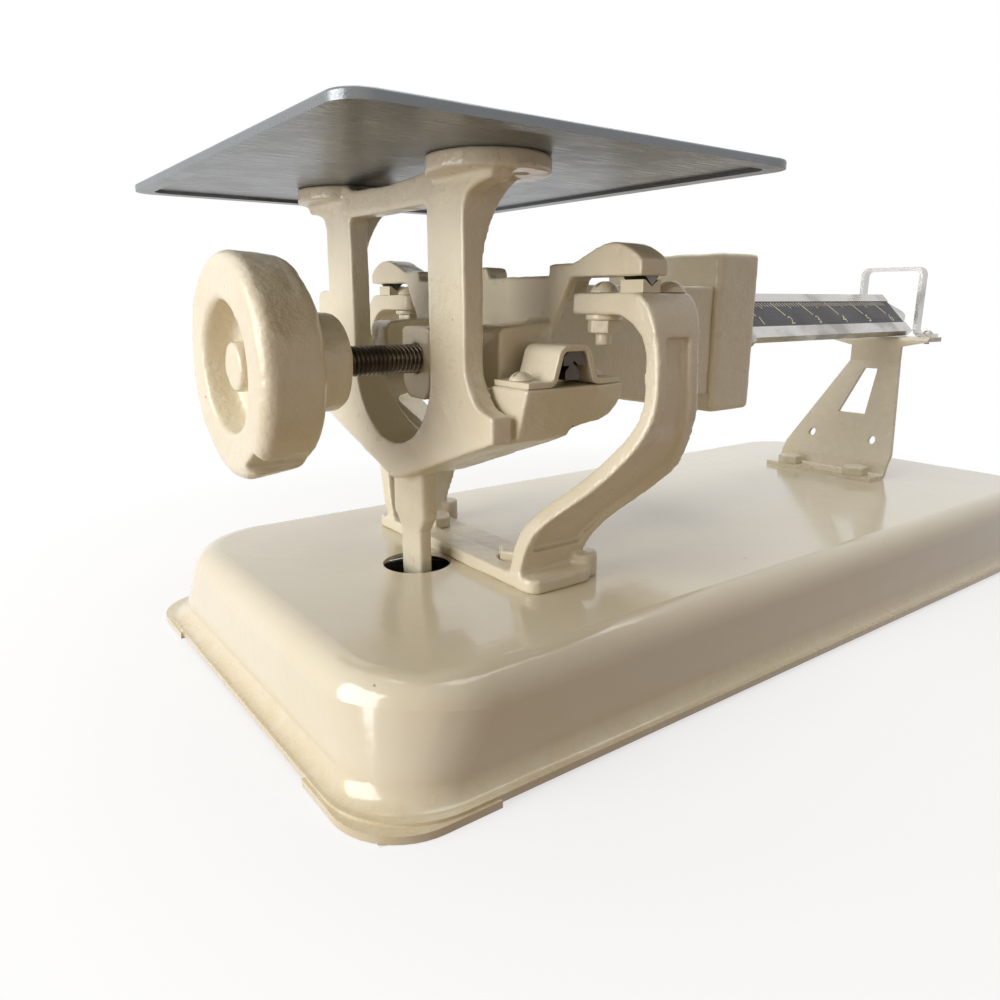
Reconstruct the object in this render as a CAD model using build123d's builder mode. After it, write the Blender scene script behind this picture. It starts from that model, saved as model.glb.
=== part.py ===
from build123d import *
import os
from math import radians, sin, cos

os.makedirs("parts", exist_ok=True)

# Millimetres, +Z up. X runs along the beam, from the weighing platform (-X) to the
# beam's tip (+X); Y runs across. The origin is the bottom centre of the base pan.
# "near" is the -Y side. Pieces that repeat on both sides are mirrored in the XZ plane.

# Base pan: a deep-drawn sheet tray, open underneath, with flared corner tabs
base_length = 468.0
base_width = 217.8
base_height = 36.3
pan_wall = 1.6
wall_inset = 6.5
pan_foot_corner_radius = 24.0
pan_top_corner_radius = 43.0
pan_top_inset = 3.0
pan_top_fillet = 11.0
tab_thickness = 2.5
tab_corner_radius = 23.0
tab_reach_x = 42.0
tab_reach_y = 44.0
bead_width = 5.5
bead_lift = 1.0
pan_top_underside = base_height - pan_wall

# Fasteners
running_gap = 0.1
foot_bolt_radius = 3.8
foot_bolt_head_flats = 12.7
foot_bolt_head_height = 5.0
foot_nut_height = 5.5
bearing_screw_radius = 2.75
bearing_screw_head_radius = 5.3
bearing_screw_head_height = 3.9
screw_slot_width = 1.3
flat_screw_radius = 2.1
flat_screw_head_radius = 3.6
flat_screw_length = 6.0
lid_screw_y = 24.0
strap_screw_radius = 1.9
strap_screw_head_radius = 4.3
strap_screw_head_height = 3.0

# Pivots: the lever rocks on the fulcrum line and the platform hangs on the load line
fulcrum_x = -117.0
fulcrum_z = 144.7
load_x = -133.4
load_z = 120.6
link_length = 44.8
knife_gap = 0.3

# Fulcrum stand: a foot with two arms that bow outwards and carry a ledge each
stand_front_x = -141.5
stand_reach_x = 46.0
stand_half_length = 59.0
foot_bar_width = 11.5
foot_thickness = 5.5
foot_end_length = 30.0
foot_end_width = 19.0
foot_plate_length = 28.5
foot_plate_thickness = 4.0
foot_bolt_x = -127.0
foot_bolt_y = 30.0
foot_boss_radius = 6.5
arm_channel_depth_share = 0.42
arm_flange = 4.5
stand_top_z = 142.6
stand_top_thickness = 7.0
ledge_front_x = -124.0
ledge_back_x = -99.0
ledge_inner_y = 55.3
ledge_outer_y = 86.0
bearing_inner_y = 77.0
bearing_length_y = 10.0
bearing_half_width = 4.0
long_screw_x = -117.0
long_screw_y = 65.8
short_screw_x = -103.5
short_screw_y = 82.5
short_screw_shank = 6.0

# Main lever casting
wall_x = -124.0
wall_thickness = 4.0
wall_top_z = 148.6
wall_half_width = 56.3
wall_waist_half_width = 44.0
wall_waist_z = 127.0
lever_low_z = 103.0
cheek_inner_y = 27.0
cheek_thickness = 6.0
cheek_top_z = 146.0
end_block_inner_y = 32.0
end_block_outer_y = 47.0
end_block_front_x = -147.7
end_block_top_z = 131.7
end_block_bottom_z = 109.5
wing_depth = 12.0
wing_inner_y = 44.8
wing_dome_inner_y = 56.0
wing_peak_y = 75.4
wing_outer_y = 89.0
wing_web_y = 50.0
wing_web_bottom_z = 140.0
wing_bottom_z = 147.7
wing_bar_top_z = 152.5
wing_top_z = 158.2
lug_front_x = -153.0
lug_half_width = 10.3
lug_top_z = 130.5

# Counterweight box and its lead
box_left_x = -18.6
box_right_x = 9.4
box_half_width = 35.4
box_bottom_z = 90.3
box_top_z = 160.4
box_wall = 4.0
box_boss_length = 20.0

# Balance weight on its threaded rod
rod_radius = 5.55
rod_pitch = 1.814
rod_z = 118.6
rod_end_x = -204.0
wheel_front_x = -226.5
wheel_width = 22.0
wheel_front_radius = 38.0
wheel_back_radius = 36.0
wheel_rim_fillet = 4.5
recess_radius = 22.0
recess_depth = 11.0
boss_radius = 8.3
boss_height = 8.0
hub_radius = 18.2
hub_length = 18.0
back_groove_radius = 29.0
back_groove_depth = 6.5
balance_travel = 6.0
washer_radius = 9.0
washer_thickness = 1.2
thread_clearance = 0.08

# Platform carrier casting
carrier_front_x = -164.4
carrier_thickness = 8.0
upright_outer_y = 50.5
upright_inner_y = 28.6
window_top_z = 171.0
window_bottom_z = 87.0
v_centre_z = 72.0
v_slope = 0.355
v_reach_y = 71.6
v_back_x = -132.0
v_plate = 6.0
pad_x = -154.0
pad_y = 50.0
pad_radius = 20.0
pad_thickness = 5.4
load_block_inner_y = 50.5
load_block_left_x = -154.5
load_block_right_x = -111.7
load_block_top_z = 112.7
stem_x = -154.8
stem_upper_half_width = 11.5
stem_upper_thickness = 7.5
stem_lower_half_width = 7.6
stem_lower_thickness = 6.0
stem_shoulder_z = 57.0
stem_end_z = 9.0
stem_hole_radius = 13.8

# Load straps over the load blocks
strap_sheet = 2.0
strap_hump_half_width = 6.5
strap_flare = 3.5
strap_screw_left_inset = 5.5
strap_screw_right_inset = 6.6
strap_hump_height = 13.3
strap_inset = 1.2

# Platter
platter_left_x = -227.0
platter_right_x = -62.0
platter_half_width = 98.5
platter_z = 183.7
platter_sheet = 1.6
platter_hem_width = 6.5
platter_hem_drop = 1.2
platter_corner_radius = 9.0

# Check link under the pan
check_z = 16.0
check_pin_radius = 2.5
link_bar_half_gap = 8.4
link_bar_thickness = 3.0
link_bar_height = 9.0
slot_reach = 1.5

# Graduated beam: a bar tilted towards the user
beam_tilt_angle = 45.0
beam_centre_z = 131.0
beam_end_x = 204.0
beam_tip_x = 214.0
upper_rail = 6.0
band_height = 18.0
lower_rail = 7.5
rail_half_thickness = 2.2
web_half_thickness = 1.3
scale_plate_thickness = 0.6
beam_tang = 12.0
beam_tang_half_width = 8.0

# Poises
poise_gap = 0.3
poise_start_x = 11.4
poise_length = 17.0
poise_travel = 150.0
main_poise_wall = 8.0
small_poise_wall = 3.2

# Beam stand: bent sheet with a trig loop at the beam's tip
beam_stand_sheet = 2.6
beam_stand_foot_left_x = 131.0
beam_stand_bend_x = 146.0
beam_stand_ridge_x = 149.0
beam_stand_ridge_z = 45.0
beam_stand_half_width = 35.0
beam_bolt_x = 137.0
beam_bolt_y = 22.0
neck_x = 186.5
neck_half_width = 16.0
neck_bottom_z = 102.0
shelf_top_z = 118.0
shelf_right_x = 203.0
loop_x = 197.0
loop_strip = 6.0
loop_sheet = 2.2
loop_half_width = 17.5
loop_height = 42.0
loop_corner_radius = 4.0
loop_foot_reach = 12.0
loop_screw_radius = 1.5
loop_screw_head_radius = 2.9

# Values worked out from the sizes above
body_length = base_length - 2 * wall_inset
body_width = base_width - 2 * wall_inset
rail_total = upper_rail + band_height + lower_rail
beam_low_s = -rail_total / 2
beam_high_s = rail_total / 2
band_low_s = beam_low_s + lower_rail
band_high_s = band_low_s + band_height
wheel_back_x = wheel_front_x + wheel_width
hub_end_x = wheel_back_x + hub_length
anchor_x = stem_x + link_length
stand_top_bottom_z = stand_top_z - stand_top_thickness
v_edge_z = v_centre_z + v_slope * v_reach_y
beam_slope_plane = Plane(
    origin=(0, 0, beam_centre_z),
    x_dir=(1, 0, 0),
    z_dir=(0, -sin(radians(beam_tilt_angle)), cos(radians(beam_tilt_angle))),
)
beam_section_plane = Plane(
    origin=(0, 0, beam_centre_z),
    x_dir=(0, cos(radians(beam_tilt_angle)), sin(radians(beam_tilt_angle))),
    z_dir=(1, 0, 0),
)


def across(first, second, share):
    """The point that lies a share of the way from the first point to the second."""
    return tuple(a + (b - a) * share for a, b in zip(first, second))


def pan_form(inset, top_z, top_fillet):
    """The pan's full form, drawn in all round by an inset: small corners at the foot, wide ones on top."""
    with BuildPart() as form:
        with BuildSketch(Plane.XY.offset(tab_thickness)):
            RectangleRounded(body_length - 2 * inset, body_width - 2 * inset, pan_foot_corner_radius - inset)
        with BuildSketch(Plane.XY.offset(top_z)):
            RectangleRounded(
                body_length - 2 * pan_top_inset - 2 * inset,
                body_width - 2 * pan_top_inset - 2 * inset,
                pan_top_corner_radius - inset,
            )
        loft(ruled=True)
        fillet(form.faces().sort_by(Axis.Z)[-1].edges(), radius=top_fillet)
    return form.part


# Base pan
pan_outside = pan_form(0, base_height, pan_top_fillet)
pan_inside = pan_form(pan_wall, pan_top_underside, pan_top_fillet - pan_wall)
with BuildPart() as base_pan:
    add(pan_outside)
    add(pan_inside, mode=Mode.SUBTRACT)
    with BuildSketch(Plane.XY.offset(bead_lift)):
        RectangleRounded(
            body_length + 2 * bead_width, body_width + 2 * bead_width, pan_foot_corner_radius + bead_width
        )
        RectangleRounded(
            body_length - 2 * pan_wall,
            body_width - 2 * pan_wall,
            pan_foot_corner_radius - pan_wall,
            mode=Mode.SUBTRACT,
        )
    extrude(amount=tab_thickness)
    with BuildSketch():
        RectangleRounded(base_length, base_width, tab_corner_radius)
        Rectangle(base_length - 2 * tab_reach_x, base_width, mode=Mode.SUBTRACT)
        Rectangle(base_length, base_width - 2 * tab_reach_y, mode=Mode.SUBTRACT)
        RectangleRounded(
            body_length - 2 * pan_wall,
            body_width - 2 * pan_wall,
            pan_foot_corner_radius - pan_wall,
            mode=Mode.SUBTRACT,
        )
    extrude(amount=tab_thickness)
    with Locations((stem_x, 0, base_height)):
        Hole(radius=stem_hole_radius, depth=2 * pan_wall)
    with Locations((foot_bolt_x, 0, base_height)):
        with GridLocations(0, 2 * foot_bolt_y, 1, 2):
            Hole(radius=foot_bolt_radius + running_gap, depth=2 * pan_wall)
    with Locations((beam_bolt_x, 0, base_height)):
        with GridLocations(0, 2 * beam_bolt_y, 1, 2):
            Hole(radius=foot_bolt_radius + running_gap, depth=2 * pan_wall)
base_pan.part.label = "base_pan"
export_step(base_pan.part, "parts/base_pan.step")

# Fulcrum stand: the near arm's curves, as |Y| and Z for its two sides, X and Z for its two edges
arm_inner = [
    (44.0, 41.0),
    (46.2, 50.5),
    (50.5, 60.5),
    (60.5, 71.0),
    (72.5, 80.7),
    (86.0, 94.3),
    (91.5, 103.5),
    (91.9, 116.2),
    (88.9, 130.0),
    (84.4, 133.8),
    (77.5, 135.6),
]
arm_outer = [
    (50.0, 41.0),
    (53.0, 50.5),
    (57.0, 58.6),
    (66.0, 67.5),
    (76.5, 76.2),
    (89.5, 89.0),
    (96.9, 101.8),
    (98.0, 116.3),
    (96.5, 128.5),
    (93.0, 137.5),
    (87.5, stand_top_z),
]
arm_front = [
    (-141.0, 38.0),
    (-141.0, 50.0),
    (-140.2, 58.0),
    (-138.0, 64.5),
    (-132.0, 80.7),
    (-128.0, 94.3),
    (-125.0, 105.0),
    (ledge_front_x, 117.0),
    (ledge_front_x, 130.0),
    (ledge_front_x, 145.0),
]
arm_rear = [
    (-113.0, 38.0),
    (-111.0, 46.0),
    (-107.0, 53.5),
    (-98.5, 67.0),
    (-97.0, 76.0),
    (-97.3, 84.5),
    (-100.5, 90.5),
    (-103.0, 98.0),
    (-104.0, 107.0),
    (-104.5, 123.0),
    (-101.5, 136.0),
    (ledge_back_x, 145.0),
]


def bowed_band(near_side, far_side, front_edge, rear_edge):
    """A band between two curves across Y and Z, trimmed to a front and a rear curve along X and Z."""
    with BuildPart() as band:
        with BuildSketch(Plane.YZ.offset(stand_front_x)):
            with BuildLine():
                Spline(*near_side)
                Line(near_side[-1], far_side[-1])
                Spline(*far_side)
                Line(far_side[0], near_side[0])
            make_face()
        extrude(amount=stand_reach_x)
        with BuildSketch(Plane.XZ):
            with BuildLine():
                Spline(*front_edge)
                Line(front_edge[-1], rear_edge[-1])
                Spline(*rear_edge)
                Line(rear_edge[0], front_edge[0])
            make_face()
        extrude(amount=2 * stand_half_length, mode=Mode.INTERSECT)
    return band.part


def near_points(points):
    """The same points on the near side."""
    return [(-y, z) for y, z in points]


def shifted(points, distance):
    """The same points moved along X."""
    return [(x + distance, z) for x, z in points]


channel_floor = [across(a, b, arm_channel_depth_share) for a, b in zip(arm_outer[1:9], arm_inner[1:9])]
channel_mouth = [across(a, b, -arm_channel_depth_share) for a, b in zip(arm_outer[1:9], arm_inner[1:9])]
stand_arm = bowed_band(near_points(arm_inner), near_points(arm_outer), arm_front, arm_rear)
arm_channel = bowed_band(
    near_points(channel_floor),
    near_points(channel_mouth),
    shifted(arm_front, arm_flange),
    shifted(arm_rear, -arm_flange),
)
foot_end_y = stand_half_length - foot_end_width / 2
with BuildPart() as fulcrum_stand:
    with BuildSketch(Plane.XY.offset(base_height)):
        with Locations((stand_front_x + foot_bar_width / 2, 0)):
            Rectangle(foot_bar_width, 2 * stand_half_length)
        with Locations((stand_front_x + foot_end_length / 2, 0)):
            with GridLocations(0, 2 * foot_end_y, 1, 2):
                Rectangle(foot_end_length, foot_end_width)
        fillet(vertices().group_by(Axis.X)[0], radius=5.0)
        fillet(vertices().group_by(Axis.X)[-1], radius=4.0)
    extrude(amount=foot_thickness)
    with BuildSketch(Plane.XY.offset(base_height)):
        with Locations((stand_front_x + foot_plate_length / 2, 0)):
            Rectangle(foot_plate_length - 1.0, 2 * foot_end_y)
    extrude(amount=foot_plate_thickness)
    add(stand_arm)
    add(arm_channel, mode=Mode.SUBTRACT)
    with BuildSketch(Plane.XY.offset(stand_top_bottom_z)):
        with Locations(((ledge_front_x + ledge_back_x) / 2, -(ledge_inner_y + ledge_outer_y) / 2)):
            Rectangle(ledge_back_x - ledge_front_x, ledge_outer_y - ledge_inner_y)
        fillet(vertices().group_by(Axis.Y)[-1], radius=4.0)
    extrude(amount=stand_top_thickness)
    with BuildSketch(Plane.XY.offset(base_height)):
        with Locations((stand_front_x + foot_end_length + 1.5, -foot_end_y)):
            Circle(foot_boss_radius)
    extrude(amount=foot_thickness + 4.0)
    # Holes of the bearing screws: the long ones run through, the short ones are blind
    with Locations((long_screw_x, -long_screw_y, stand_top_z)):
        Hole(radius=bearing_screw_radius + running_gap, depth=stand_top_thickness + 2.0)
    with Locations((short_screw_x, -short_screw_y, stand_top_z)):
        Hole(radius=bearing_screw_radius + running_gap, depth=short_screw_shank + 0.5)
    mirror(about=Plane.XZ)
    with Locations((foot_bolt_x, 0, base_height + foot_plate_thickness)):
        with GridLocations(0, 2 * foot_bolt_y, 1, 2):
            Hole(radius=foot_bolt_radius + running_gap, depth=2 * foot_thickness)
    with BuildSketch(Plane.XY.offset(base_height + foot_plate_thickness)):
        with Locations((foot_bolt_x, 0)):
            with GridLocations(0, 2 * foot_bolt_y, 1, 2):
                Circle(foot_bolt_head_flats / 2 + 1.4)
    extrude(amount=foot_thickness, mode=Mode.SUBTRACT)
fulcrum_stand.part.label = "fulcrum_stand"
export_step(fulcrum_stand.part, "parts/fulcrum_stand.step")

# Fulcrum bearings: steel blocks on the stand's top, each with a V groove
bearing_top_z = fulcrum_z + 1.9
groove_bottom_z = fulcrum_z - knife_gap
groove_half_width = (bearing_top_z - groove_bottom_z) * 1.4
with BuildPart() as fulcrum_bearings:
    with BuildSketch(Plane.XZ.offset(bearing_inner_y)):
        with BuildLine():
            Polyline(
                (fulcrum_x - bearing_half_width, stand_top_z),
                (fulcrum_x + bearing_half_width, stand_top_z),
                (fulcrum_x + bearing_half_width, bearing_top_z),
                (fulcrum_x + groove_half_width, bearing_top_z),
                (fulcrum_x, groove_bottom_z),
                (fulcrum_x - groove_half_width, bearing_top_z),
                (fulcrum_x - bearing_half_width, bearing_top_z),
                close=True,
            )
        make_face()
    extrude(amount=bearing_length_y)
    mirror(about=Plane.XZ)
fulcrum_bearings.part.label = "fulcrum_bearings"
export_step(fulcrum_bearings.part, "parts/fulcrum_bearings.step")


def round_head_screw(head_radius, head_height, shank_radius, shank_length):
    """A slotted round-head screw whose head is seated at the origin."""
    cap_radius = (head_radius**2 + head_height**2) / (2 * head_height)
    with BuildPart() as screw:
        with BuildSketch(Plane.XZ):
            with BuildLine():
                Line((0, -shank_length), (shank_radius, -shank_length))
                Line((shank_radius, -shank_length), (shank_radius, 0))
                Line((shank_radius, 0), (head_radius, 0))
                RadiusArc((head_radius, 0), (0, head_height), -cap_radius)
                Line((0, head_height), (0, -shank_length))
            make_face()
        revolve(axis=Axis.Z)
        with BuildSketch(Plane.XY.offset(head_height * 0.5)):
            Rectangle(2.2 * head_radius, screw_slot_width)
        extrude(amount=head_height, mode=Mode.SUBTRACT)
    return screw.part


# Screws beside the fulcrum bearings, with washers and nuts on the long ones
washer_height = 1.8
bearing_nut_height = 4.4
long_shank = stand_top_thickness + washer_height + bearing_nut_height + 4.0
long_screw = round_head_screw(
    bearing_screw_head_radius, bearing_screw_head_height, bearing_screw_radius, long_shank
)
short_screw = round_head_screw(
    bearing_screw_head_radius, bearing_screw_head_height, bearing_screw_radius, short_screw_shank
)
with BuildPart() as bearing_screws:
    with Locations((long_screw_x, 0, stand_top_z)):
        with GridLocations(0, 2 * long_screw_y, 1, 2):
            add(long_screw)
    with Locations((short_screw_x, 0, stand_top_z)):
        with GridLocations(0, 2 * short_screw_y, 1, 2):
            add(short_screw)
bearing_screws.part.label = "bearing_screws"
export_step(bearing_screws.part, "parts/bearing_screws.step")

with BuildPart() as bearing_washers:
    with BuildSketch(Plane.XY.offset(stand_top_bottom_z)):
        with Locations((long_screw_x, 0)):
            with GridLocations(0, 2 * long_screw_y, 1, 2):
                Circle(6.3)
                Circle(bearing_screw_radius + running_gap, mode=Mode.SUBTRACT)
    extrude(amount=-washer_height)
bearing_washers.part.label = "bearing_washers"
export_step(bearing_washers.part, "parts/bearing_washers.step")

with BuildPart() as bearing_nuts:
    with BuildSketch(Plane.XY.offset(stand_top_bottom_z - washer_height)):
        with Locations((long_screw_x, 0)):
            with GridLocations(0, 2 * long_screw_y, 1, 2):
                RegularPolygon(radius=5.8, side_count=6)
                Circle(bearing_screw_radius + running_gap, mode=Mode.SUBTRACT)
    extrude(amount=-bearing_nut_height)
bearing_nuts.part.label = "bearing_nuts"
export_step(bearing_nuts.part, "parts/bearing_nuts.step")

# Check bracket under the pan, held by the stand's foot bolts
bracket_sheet = 3.0
bracket_ear_gap = 1.0
ear_inner_y = link_bar_half_gap + link_bar_thickness + bracket_ear_gap
ear_bottom_z = check_z - 6.0
with BuildPart() as check_bracket:
    bracket_right_x = anchor_x + 8.0
    bracket_left_x = foot_bolt_x - 8.0
    with BuildSketch(Plane.XY.offset(pan_top_underside - bracket_sheet)):
        with Locations(((bracket_left_x + bracket_right_x) / 2, 0)):
            RectangleRounded(bracket_right_x - bracket_left_x, 2 * foot_bolt_y + 20.0, 4.0)
    extrude(amount=bracket_sheet)
    with BuildSketch(Plane.XZ.offset(ear_inner_y)):
        with BuildLine():
            Polyline(
                (anchor_x - 8.0, pan_top_underside - bracket_sheet),
                (anchor_x - 8.0, ear_bottom_z),
                (anchor_x + 8.0, ear_bottom_z),
                (anchor_x + 8.0, pan_top_underside - bracket_sheet),
                close=True,
            )
        make_face()
        fillet(vertices().group_by(Axis.Y)[0], radius=5.0)
    extrude(amount=bracket_sheet)
    mirror(about=Plane.XZ)
    with BuildSketch(Plane.XZ.offset(-ear_inner_y - 2 * bracket_sheet)):
        with Locations((anchor_x, check_z)):
            Circle(check_pin_radius)
    extrude(amount=2 * ear_inner_y + 4 * bracket_sheet, mode=Mode.SUBTRACT)
    with Locations((foot_bolt_x, 0, pan_top_underside)):
        with GridLocations(0, 2 * foot_bolt_y, 1, 2):
            Hole(radius=foot_bolt_radius + running_gap, depth=2 * bracket_sheet)
check_bracket.part.label = "check_bracket"
export_step(check_bracket.part, "parts/check_bracket.step")

with BuildPart() as anchor_pin:
    pin_reach = ear_inner_y + bracket_sheet
    with BuildSketch(Plane.XZ.offset(-pin_reach)):
        with Locations((anchor_x, check_z)):
            Circle(check_pin_radius)
    extrude(amount=2 * pin_reach)
anchor_pin.part.label = "anchor_pin"
export_step(anchor_pin.part, "parts/anchor_pin.step")


def hex_bolt(shank_length):
    """A hexagon bolt whose head is seated at the origin."""
    with BuildPart() as bolt:
        with BuildSketch():
            RegularPolygon(radius=foot_bolt_head_flats / 2, side_count=6, major_radius=False)
        extrude(amount=foot_bolt_head_height)
        chamfer(bolt.faces().sort_by(Axis.Z)[-1].edges(), length=0.7)
        with BuildSketch():
            Circle(foot_bolt_radius)
        extrude(amount=-shank_length)
    return bolt.part


def hex_nut():
    """A hexagon nut that hangs below the origin."""
    with BuildPart() as nut:
        with BuildSketch():
            RegularPolygon(radius=foot_bolt_head_flats / 2, side_count=6, major_radius=False)
            Circle(foot_bolt_radius + running_gap, mode=Mode.SUBTRACT)
        extrude(amount=-foot_nut_height)
    return nut.part


# Bolts and nuts that hold the fulcrum stand
foot_seat_z = base_height + foot_plate_thickness
foot_nut_seat_z = pan_top_underside - bracket_sheet
bolt_end_allowance = foot_nut_height + 2.0
foot_bolt = hex_bolt(foot_seat_z - foot_nut_seat_z + bolt_end_allowance)
with BuildPart() as foot_bolts:
    with Locations((foot_bolt_x, 0, foot_seat_z)):
        with GridLocations(0, 2 * foot_bolt_y, 1, 2):
            add(foot_bolt)
foot_bolts.part.label = "foot_bolts"
export_step(foot_bolts.part, "parts/foot_bolts.step")

nut = hex_nut()
with BuildPart() as foot_nuts:
    with Locations((foot_bolt_x, 0, foot_nut_seat_z)):
        with GridLocations(0, 2 * foot_bolt_y, 1, 2):
            add(nut)
foot_nuts.part.label = "foot_nuts"
export_step(foot_nuts.part, "parts/foot_nuts.step")

# Main lever casting
wall_back_x = wall_x + wall_thickness
with BuildPart() as main_lever:
    # transverse wall with slanted ends
    with BuildSketch(Plane.YZ.offset(wall_x)):
        with BuildLine():
            Polyline(
                (-wall_half_width, wall_top_z),
                (wall_half_width, wall_top_z),
                (wall_waist_half_width, wall_waist_z),
                (cheek_inner_y + cheek_thickness, 120.0),
                (cheek_inner_y + cheek_thickness, lever_low_z),
                (-cheek_inner_y - cheek_thickness, lever_low_z),
                (-cheek_inner_y - cheek_thickness, 120.0),
                (-wall_waist_half_width, wall_waist_z),
                close=True,
            )
        make_face()
    extrude(amount=wall_thickness)
    # centre rib with its knob
    with BuildSketch(Plane.YZ.offset(wall_x)):
        with Locations((0, 140.0)):
            RectangleRounded(15.0, 25.4, 3.0)
    extrude(amount=wall_thickness + 6.0)
    # lug for the threaded rod
    with BuildSketch(Plane.YZ.offset(lug_front_x)):
        with BuildLine():
            Polyline(
                (-lug_half_width, lug_top_z),
                (lug_half_width, lug_top_z),
                (lug_half_width, 109.0),
                (6.0, lever_low_z),
                (-6.0, lever_low_z),
                (-lug_half_width, 109.0),
                close=True,
            )
        make_face()
        fillet(vertices(), radius=3.0)
    extrude(amount=wall_back_x - lug_front_x)
    # load arms with their end blocks
    with BuildSketch(Plane.XZ.offset(end_block_inner_y)):
        with BuildLine():
            Polyline(
                (end_block_front_x, end_block_top_z),
                (wall_x, end_block_top_z + 1.0),
                (wall_x, end_block_bottom_z),
                (end_block_front_x, end_block_bottom_z),
                close=True,
            )
        make_face()
        fillet(vertices().group_by(Axis.X)[0], radius=4.0)
    extrude(amount=end_block_outer_y - end_block_inner_y)
    # side cheeks from the wall back to the counterweight box
    with BuildSketch(Plane.XZ.offset(cheek_inner_y)):
        with BuildLine():
            Polyline(
                (wall_x, cheek_top_z),
                (box_left_x, cheek_top_z),
                (box_left_x, box_bottom_z + 8.0),
                (wall_back_x, lever_low_z),
                (wall_x, lever_low_z),
                close=True,
            )
        make_face()
    extrude(amount=cheek_thickness)
    # wings over the fulcrum: a bar with a dome, and the web that ties it to the cheek
    with BuildSketch(Plane.YZ.offset(wall_x)):
        with BuildLine():
            Polyline(
                (-wing_dome_inner_y, wing_bar_top_z),
                (-wing_inner_y, wing_bar_top_z),
                (-wing_inner_y, wall_top_z),
                (-cheek_inner_y, wall_top_z),
                (-cheek_inner_y, wing_web_bottom_z),
                (-wing_web_y, wing_web_bottom_z),
                (-wing_web_y - 4.0, wing_bottom_z),
                (-wing_outer_y, wing_bottom_z),
                (-wing_outer_y, wing_bar_top_z),
            )
            Spline(
                (-wing_outer_y, wing_bar_top_z),
                (-wing_outer_y + 4.5, wing_bar_top_z + 3.2),
                (-wing_peak_y, wing_top_z),
                (-wing_peak_y + 11.0, wing_bar_top_z + 3.0),
                (-wing_dome_inner_y, wing_bar_top_z),
            )
        make_face()
    extrude(amount=wing_depth)
    mirror(about=Plane.XZ)
    # boss that carries the box, and the tapped bore of the rod
    with BuildSketch(Plane.XY.offset(box_bottom_z + 12.0)):
        with Locations((box_left_x - box_boss_length / 2, 0)):
            Rectangle(box_boss_length, 2 * cheek_inner_y + 1.0)
    extrude(amount=cheek_top_z - box_bottom_z - 12.0)
    # slots of the fulcrum knives and the load knives
    knife_half = 3.0
    fulcrum_knife_top_z = wing_bottom_z + 4.0
    fulcrum_knife_y = bearing_inner_y + bearing_length_y / 2
    with BuildSketch(Plane.XY.offset(wing_bottom_z)):
        with Locations((fulcrum_x, 0)):
            with GridLocations(0, 2 * fulcrum_knife_y, 1, 2):
                Rectangle(2 * knife_half, bearing_length_y)
    extrude(amount=fulcrum_knife_top_z - wing_bottom_z, mode=Mode.SUBTRACT)
    load_knife_bottom_z = load_z - 6.0
    load_knife_shoulder_z = load_z - 3.2
    with BuildSketch(Plane.XZ.offset(end_block_inner_y)):
        with BuildLine():
            Polyline(
                (load_x - knife_half, load_knife_bottom_z),
                (load_x + knife_half, load_knife_bottom_z),
                (load_x + knife_half, load_knife_shoulder_z),
                (load_x, load_z),
                (load_x - knife_half, load_knife_shoulder_z),
                close=True,
            )
        make_face()
    extrude(amount=end_block_outer_y - end_block_inner_y, mode=Mode.SUBTRACT)
    with BuildSketch(Plane.XZ.offset(-end_block_outer_y)):
        with BuildLine():
            Polyline(
                (load_x - knife_half, load_knife_bottom_z),
                (load_x + knife_half, load_knife_bottom_z),
                (load_x + knife_half, load_knife_shoulder_z),
                (load_x, load_z),
                (load_x - knife_half, load_knife_shoulder_z),
                close=True,
            )
        make_face()
    extrude(amount=end_block_outer_y - end_block_inner_y, mode=Mode.SUBTRACT)
    with BuildSketch(Plane.YZ.offset(lug_front_x)):
        with Locations((0, rod_z)):
            Circle(rod_radius)
    extrude(amount=wall_back_x - lug_front_x, mode=Mode.SUBTRACT)
main_lever.part.label = "main_lever"
export_step(main_lever.part, "parts/main_lever.step")

# Knife edges
with BuildPart() as fulcrum_knives:
    with BuildSketch(Plane.XZ.offset(bearing_inner_y)):
        with BuildLine():
            Polyline(
                (fulcrum_x - knife_half, fulcrum_knife_top_z),
                (fulcrum_x + knife_half, fulcrum_knife_top_z),
                (fulcrum_x + knife_half, wing_bottom_z),
                (fulcrum_x, fulcrum_z),
                (fulcrum_x - knife_half, wing_bottom_z),
                close=True,
            )
        make_face()
    extrude(amount=bearing_length_y)
    mirror(about=Plane.XZ)
fulcrum_knives.part.label = "fulcrum_knives"
export_step(fulcrum_knives.part, "parts/fulcrum_knives.step")

knife_outer_y = v_reach_y - 3.0
with BuildPart() as load_knives:
    with BuildSketch(Plane.XZ.offset(end_block_inner_y)):
        with BuildLine():
            Polyline(
                (load_x - knife_half, load_knife_bottom_z),
                (load_x + knife_half, load_knife_bottom_z),
                (load_x + knife_half, load_knife_shoulder_z),
                (load_x, load_z),
                (load_x - knife_half, load_knife_shoulder_z),
                close=True,
            )
        make_face()
    extrude(amount=knife_outer_y - end_block_inner_y)
    mirror(about=Plane.XZ)
load_knives.part.label = "load_knives"
export_step(load_knives.part, "parts/load_knives.step")

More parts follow.
